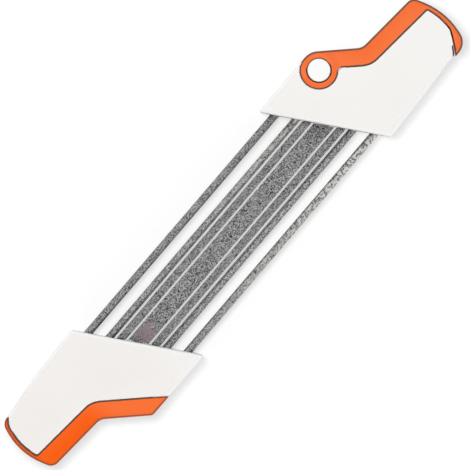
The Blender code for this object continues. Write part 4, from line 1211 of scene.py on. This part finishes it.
def make_spiral_cut():
    """Round file: teeth wound round a bar in several threads, fading into a plain end on each side.

    The rows of a grid follow the threads, so that every tooth is one unbroken ridge. The first and the
    last row close the ends.
    """
    tree, given, result = geometry_group(
        'spiral_cut_file', ('Start', 'End', 'Centre Y', 'Centre Z', 'Radius', 'Lead', 'Depth', 'Plain'),
        Rows=100, Sides=12, Rows_For_Each_Tooth=6)
    start, end, lead, rows = given['Start'], given['End'], given['Lead'], given['Rows']
    grid = add_node(tree, 'GeometryNodeMeshGrid', 1.0, 1.0, rows, given['Sides'] + 1)
    x, y, _ = position_parts(tree)
    along = x + 0.5
    turn = y + 0.5
    first = start - lead
    travel = along * (end - first) + first + turn * lead
    place = travel.maths('MAXIMUM', start).maths('MINIMUM', end)

    row = (along * (rows - 1)).maths('ROUND')
    tooth = ((row + 0.5) / given['Rows For Each Tooth']).maths('FRACT')
    inside = (place - start).maths('MINIMUM', end - place)
    fade = inside.mask(given['Plain'], given['Plain'] * PLAIN_FADE)
    open_row = row.maths('GREATER_THAN', 0.5) * row.maths('LESS_THAN', rows - 1.5)
    radius = (given['Radius'] - tooth * fade * given['Depth']) * open_row
    angle = turn * (2 * math.pi)
    bar = moved_to(tree, grid, place, radius * angle.maths('COSINE') + given['Centre Y'],
                   radius * angle.maths('SINE') + given['Centre Z'])
    closed = add_node(tree, 'GeometryNodeMergeByDistance', bar, Distance=MERGE_REACH)
    return finished_tree(tree, closed, given, result)


def make_cross_cut():
    """Flat file: two sets of teeth across each other on both broad faces, with plain narrow edges."""
    tree, given, result = geometry_group(
        'cross_cut_file', ('Length', 'Width', 'Thickness', 'Pitch', 'Depth', 'Slant', 'Centre Z'),
        Rows=100, Columns=12)
    grid = add_node(tree, 'GeometryNodeMeshGrid', given['Length'], given['Width'], given['Rows'],
                    given['Columns'])
    x, y, _ = position_parts(tree)
    first = (x / given['Pitch'] + FIRST_TOOTH_SHIFT).maths('FRACT')
    crossing = (y * CROSS_SLOPE + x) / (given['Pitch'] * CROSS_PITCH_SHARE)
    second = crossing.maths('PINGPONG', 0.5) * (2 * CROSS_DEPTH_SHARE)
    deepest = first.maths('MAXIMUM', second)
    face = moved_to(tree, grid, x, y, given['Thickness'] / 2 - deepest * given['Depth'])
    neighbours = add_node(tree, 'GeometryNodeInputMeshEdgeNeighbors')
    border = add_node(tree, 'FunctionNodeCompare', None, None, neighbours, 1,
                      data_type='INT', operation='EQUAL')
    skirt = add_node(tree, 'GeometryNodeExtrudeMesh', face, border, Offset_Scale=0.0, mode='EDGES')
    flat = moved_to(tree, skirt, x, y, 0.0, skirt.output('Top'))
    underside = add_node(tree, 'GeometryNodeTransform', flat, Rotation=(math.pi, 0.0, 0.0))
    both = add_node(tree, 'GeometryNodeJoinGeometry').fed(0, flat, underside)
    closed = add_node(tree, 'GeometryNodeMergeByDistance', both, Distance=MERGE_REACH)
    x, y, z = position_parts(tree)
    return finished_tree(tree, moved_to(tree, closed, x - y * given['Slant'], y, z + given['Centre Z']),
                         given, result)


def make_screw_row():
    """Cylinder-head screws with six-sided sockets, head downwards, one at every point given."""
    tree, given, result = geometry_group(
        'screw_row', ('Head Radius', 'Head Height', 'Shank Radius', 'Shank Length', 'Socket Radius',
                      'Chamfer'))

    def round_bar(radius_low, radius_high, start, length, sides=SCREW_SIDES):
        made = add_node(tree, 'GeometryNodeMeshCone', sides, 1, 1, radius_high, radius_low, length)
        return add_node(tree, 'GeometryNodeTransform', made,
                        Translation=add_node(tree, 'ShaderNodeCombineXYZ', 0.0, 0.0, start))

    head, height, chamfer = given['Head Radius'], given['Head Height'], given['Chamfer']
    shank, socket = given['Shank Radius'], given['Socket Radius']
    whole = add_node(tree, 'GeometryNodeMeshBoolean', operation='UNION', solver='EXACT').fed(
        'Mesh 2', round_bar(head - chamfer, head, 0.0, chamfer),
        round_bar(head, head, chamfer, height - chamfer),
        round_bar(shank, shank, height * 0.5, given['Shank Length']))
    drill = round_bar(socket, socket, height * -1.0, height * (1 + SOCKET_DEPTH_SHARE), SOCKET_SIDES)
    hollowed = add_node(tree, 'GeometryNodeMeshBoolean', operation='DIFFERENCE', solver='EXACT')
    hollowed.fed('Mesh 1', whole).fed('Mesh 2', drill)
    placed = add_node(tree, 'GeometryNodeInstanceOnPoints', given['Geometry'], Instance=hollowed)
    return finished_tree(tree, placed, given, result)


def make_round_file(hand, side, steel, tree):
    """One round file, its teeth wound between two plain ends that stay in their sockets."""
    node = 'round_file_' + hand
    low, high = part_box(node)
    steps = round((high.x - low.x) / (FILE_PITCH / SPIRAL_ROWS))
    row_length = (high.x - low.x) / steps
    lead_rows = SPIRAL_ROWS * FILE_THREADS
    piece = grown('spiral_' + node, [(0.0, 0.0, 0.0)], tree, Start=low.x, End=high.x,
                  Centre_Y=side * FILE_OFFSET, Centre_Z=FILE_Z, Radius=FILE_RADIUS,
                  Lead=lead_rows * row_length, Depth=FILE_TOOTH_DEPTH, Plain=FIXED_SEAT,
                  Rows=steps + lead_rows + 1, Sides=FILE_SIDES, Rows_For_Each_Tooth=SPIRAL_ROWS,
                  Material=steel)
    smooth_by_angle(piece, TOOTH_ANGLE)
    dressed(piece, steel, 'frame', 'file_steel', node)


def make_depth_file(tree):
    """The flat depth file between the rails, with a tang at each end."""
    length = 2 * (FACE_REACH - SHOULDER_GAP)
    teeth = round(length / DEPTH_PITCH)
    piece = grown('cross_cut_depth_file', [(0.0, 0.0, 0.0)], tree, Length=length, Width=DEPTH_FILE_WIDTH,
                  Thickness=DEPTH_FILE_THICKNESS, Pitch=length / teeth, Depth=DEPTH_TOOTH_DEPTH,
                  Slant=SLANT, Centre_Z=DEPTH_FILE_MIDDLE, Rows=teeth * CROSS_ROWS + 1,
                  Columns=DEPTH_COLUMNS, Material=depth_file_steel)
    smooth_by_angle(piece, TOOTH_ANGLE)
    joined_meshes(piece, box((-FACE_REACH - FIXED_SEAT, -FILE_RADIUS,
                              DEPTH_FILE_MIDDLE - DEPTH_FILE_THICKNESS / 2 + SHOULDER_GAP),
                             (FACE_REACH + CLAMP_SEAT, FILE_RADIUS,
                              DEPTH_FILE_MIDDLE + DEPTH_FILE_THICKNESS / 2 - SHOULDER_GAP)))
    dressed(piece, depth_file_steel, 'frame', 'file_steel', 'depth_file')


def make_screws(prefix, body, tree):
    """The four screws of one handle, as one mesh."""
    points = []
    for node in screw_nodes(prefix):
        low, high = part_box(node)
        points.append(((low.x + high.x) / 2, (low.y + high.y) / 2, low.z))
    length = high.z - low.z - SCREW_HEAD_HEIGHT / 2
    piece = grown(prefix + '_screws', points, tree, Head_Radius=SCREW_HEAD_RADIUS,
                  Head_Height=SCREW_HEAD_HEIGHT, Shank_Radius=SCREW_RADIUS, Shank_Length=length,
                  Socket_Radius=SOCKET_RADIUS, Chamfer=EDGE_BREAK, Material=zinc_steel)
    smooth_by_angle(piece)
    dressed(piece, zinc_steel, body, 'zinc_steel', *screw_nodes(prefix))


def refinished(material, *nodes):
    """Give CAD nodes whose shape is right a better material."""
    for node in nodes:
        for place in frame['nodes'][node].material_slots:
            place.material = material


make_shells('fixed_handle', 'frame', False)
make_shells('clamp_handle', 'clamp_handle', True)
make_grip()
make_lever()
make_caps()
make_rail('left', RAIL_OFFSET)
make_rail('right', -RAIL_OFFSET)
make_rod('left', 1, rod_steel, 'rod_pin_left', 'fork_pin')
make_rod('right', -1, greasy_glinting_rod_steel, 'rod_pin_right')
spiral_cut = make_spiral_cut()
make_round_file('left', 1, greasy_glinting_file_steel, spiral_cut)
make_round_file('right', -1, round_file_steel, spiral_cut)
make_depth_file(make_cross_cut())
screw_row = make_screw_row()
make_screws('fixed_handle', 'frame', screw_row)
make_screws('clamp_handle', 'clamp_handle', screw_row)
refinished(socket_plastic, 'fixed_handle_socket_block', 'clamp_handle_socket_block')
refinished(zinc_steel, 'rod_pin_left', 'rod_pin_right', 'draw_fork', 'fork_pin', 'stop_clip', 'crank_shaft')
refinished(bronze, 'rod_bush_left', 'rod_bush_right')


# Floor, lights and camera

def seen_directly(tree):
    """1 for the camera, reflections and what shows through, and 0 for light that surfaces gather."""
    ray = add_node(tree, 'ShaderNodeLightPath')
    return ray.output('Is Camera Ray').maths('MAXIMUM', ray.output('Is Glossy Ray')).maths(
        'MAXIMUM', ray.output('Is Transmission Ray'))


def make_floor():
    """Pale floor: the camera and reflections see it white, and the tool's shadow stays on it."""
    floor = box((-FLOOR_REACH, -FLOOR_REACH, -FLOOR_DEPTH), (FLOOR_REACH, FLOOR_REACH, 0.0), 'floor')
    made, tree, shader = new_material('pale_floor', FLOOR_TONES[0], FLOOR_ROUGHNESS, 0.0)
    cloud = noise(tree, FLOOR_CLOUD_SCALE)
    set_inputs(shader, Base_Color=blend(tree, cloud.mask(*NOISE_SPAN), *FLOOR_TONES))
    both = add_node(tree, 'ShaderNodeMixShader', seen_directly(tree) * FLOOR_GLOW_SHARE,
                    Field(shader.outputs[0]), add_node(tree, 'ShaderNodeEmission', Strength=FLOOR_GLOW))
    set_inputs(tree.nodes['Material Output'], Surface=both)
    floor.data.materials.append(made)


def make_world():
    """Even pale light from all sides, which the camera and reflections see as white."""
    world = bpy.data.worlds.new('pale_room')
    bpy.context.scene.world = world
    world.use_nodes = True
    tree = world.node_tree
    set_inputs(tree.nodes['Background'], Color=grey(1.0),
               Strength=seen_directly(tree).mask(0.0, 1.0, WORLD_LIGHT, 1.0))


def make_lamp(name, place, width, power):
    """Square soft lamp that faces the tool."""
    data = bpy.data.lights.new(name, 'AREA')
    data.shape = 'SQUARE'
    data.size = width
    data.energy = power
    lamp = in_scene(name, data)
    lamp.visible_glossy = False
    lamp.location = place
    lamp.rotation_euler = (-Vector(place)).to_track_quat('-Z', 'Y').to_euler()


def make_camera():
    """Long lens straight above the tool, turned as the photograph is."""
    data = bpy.data.cameras.new('camera')
    data.sensor_width = SENSOR
    data.lens = LENS
    right = Vector((math.cos(VIEW_TURN), -math.sin(VIEW_TURN), 0.0))
    upward = Vector((math.sin(VIEW_TURN), math.cos(VIEW_TURN), 0.0))
    back = right.cross(upward)
    distance = VIEW_WIDTH * LENS / SENSOR + MID
    data.clip_end = 2 * distance
    camera = in_scene('camera', data)
    camera.matrix_world = Matrix.Translation(Vector((*VIEW_CENTRE, 0.0)) + back * distance) @ Matrix(
        (right, upward, back)).transposed().to_4x4()
    bpy.context.scene.camera = camera


make_floor()
make_world()
make_lamp('window_light', LAMP_PLACE, LAMP_WIDTH, LAMP_POWER)
make_lamp('low_fill_light', FILL_PLACE, FILL_WIDTH, FILL_POWER)
make_camera()
bpy.context.scene.view_settings.view_transform = 'Standard'
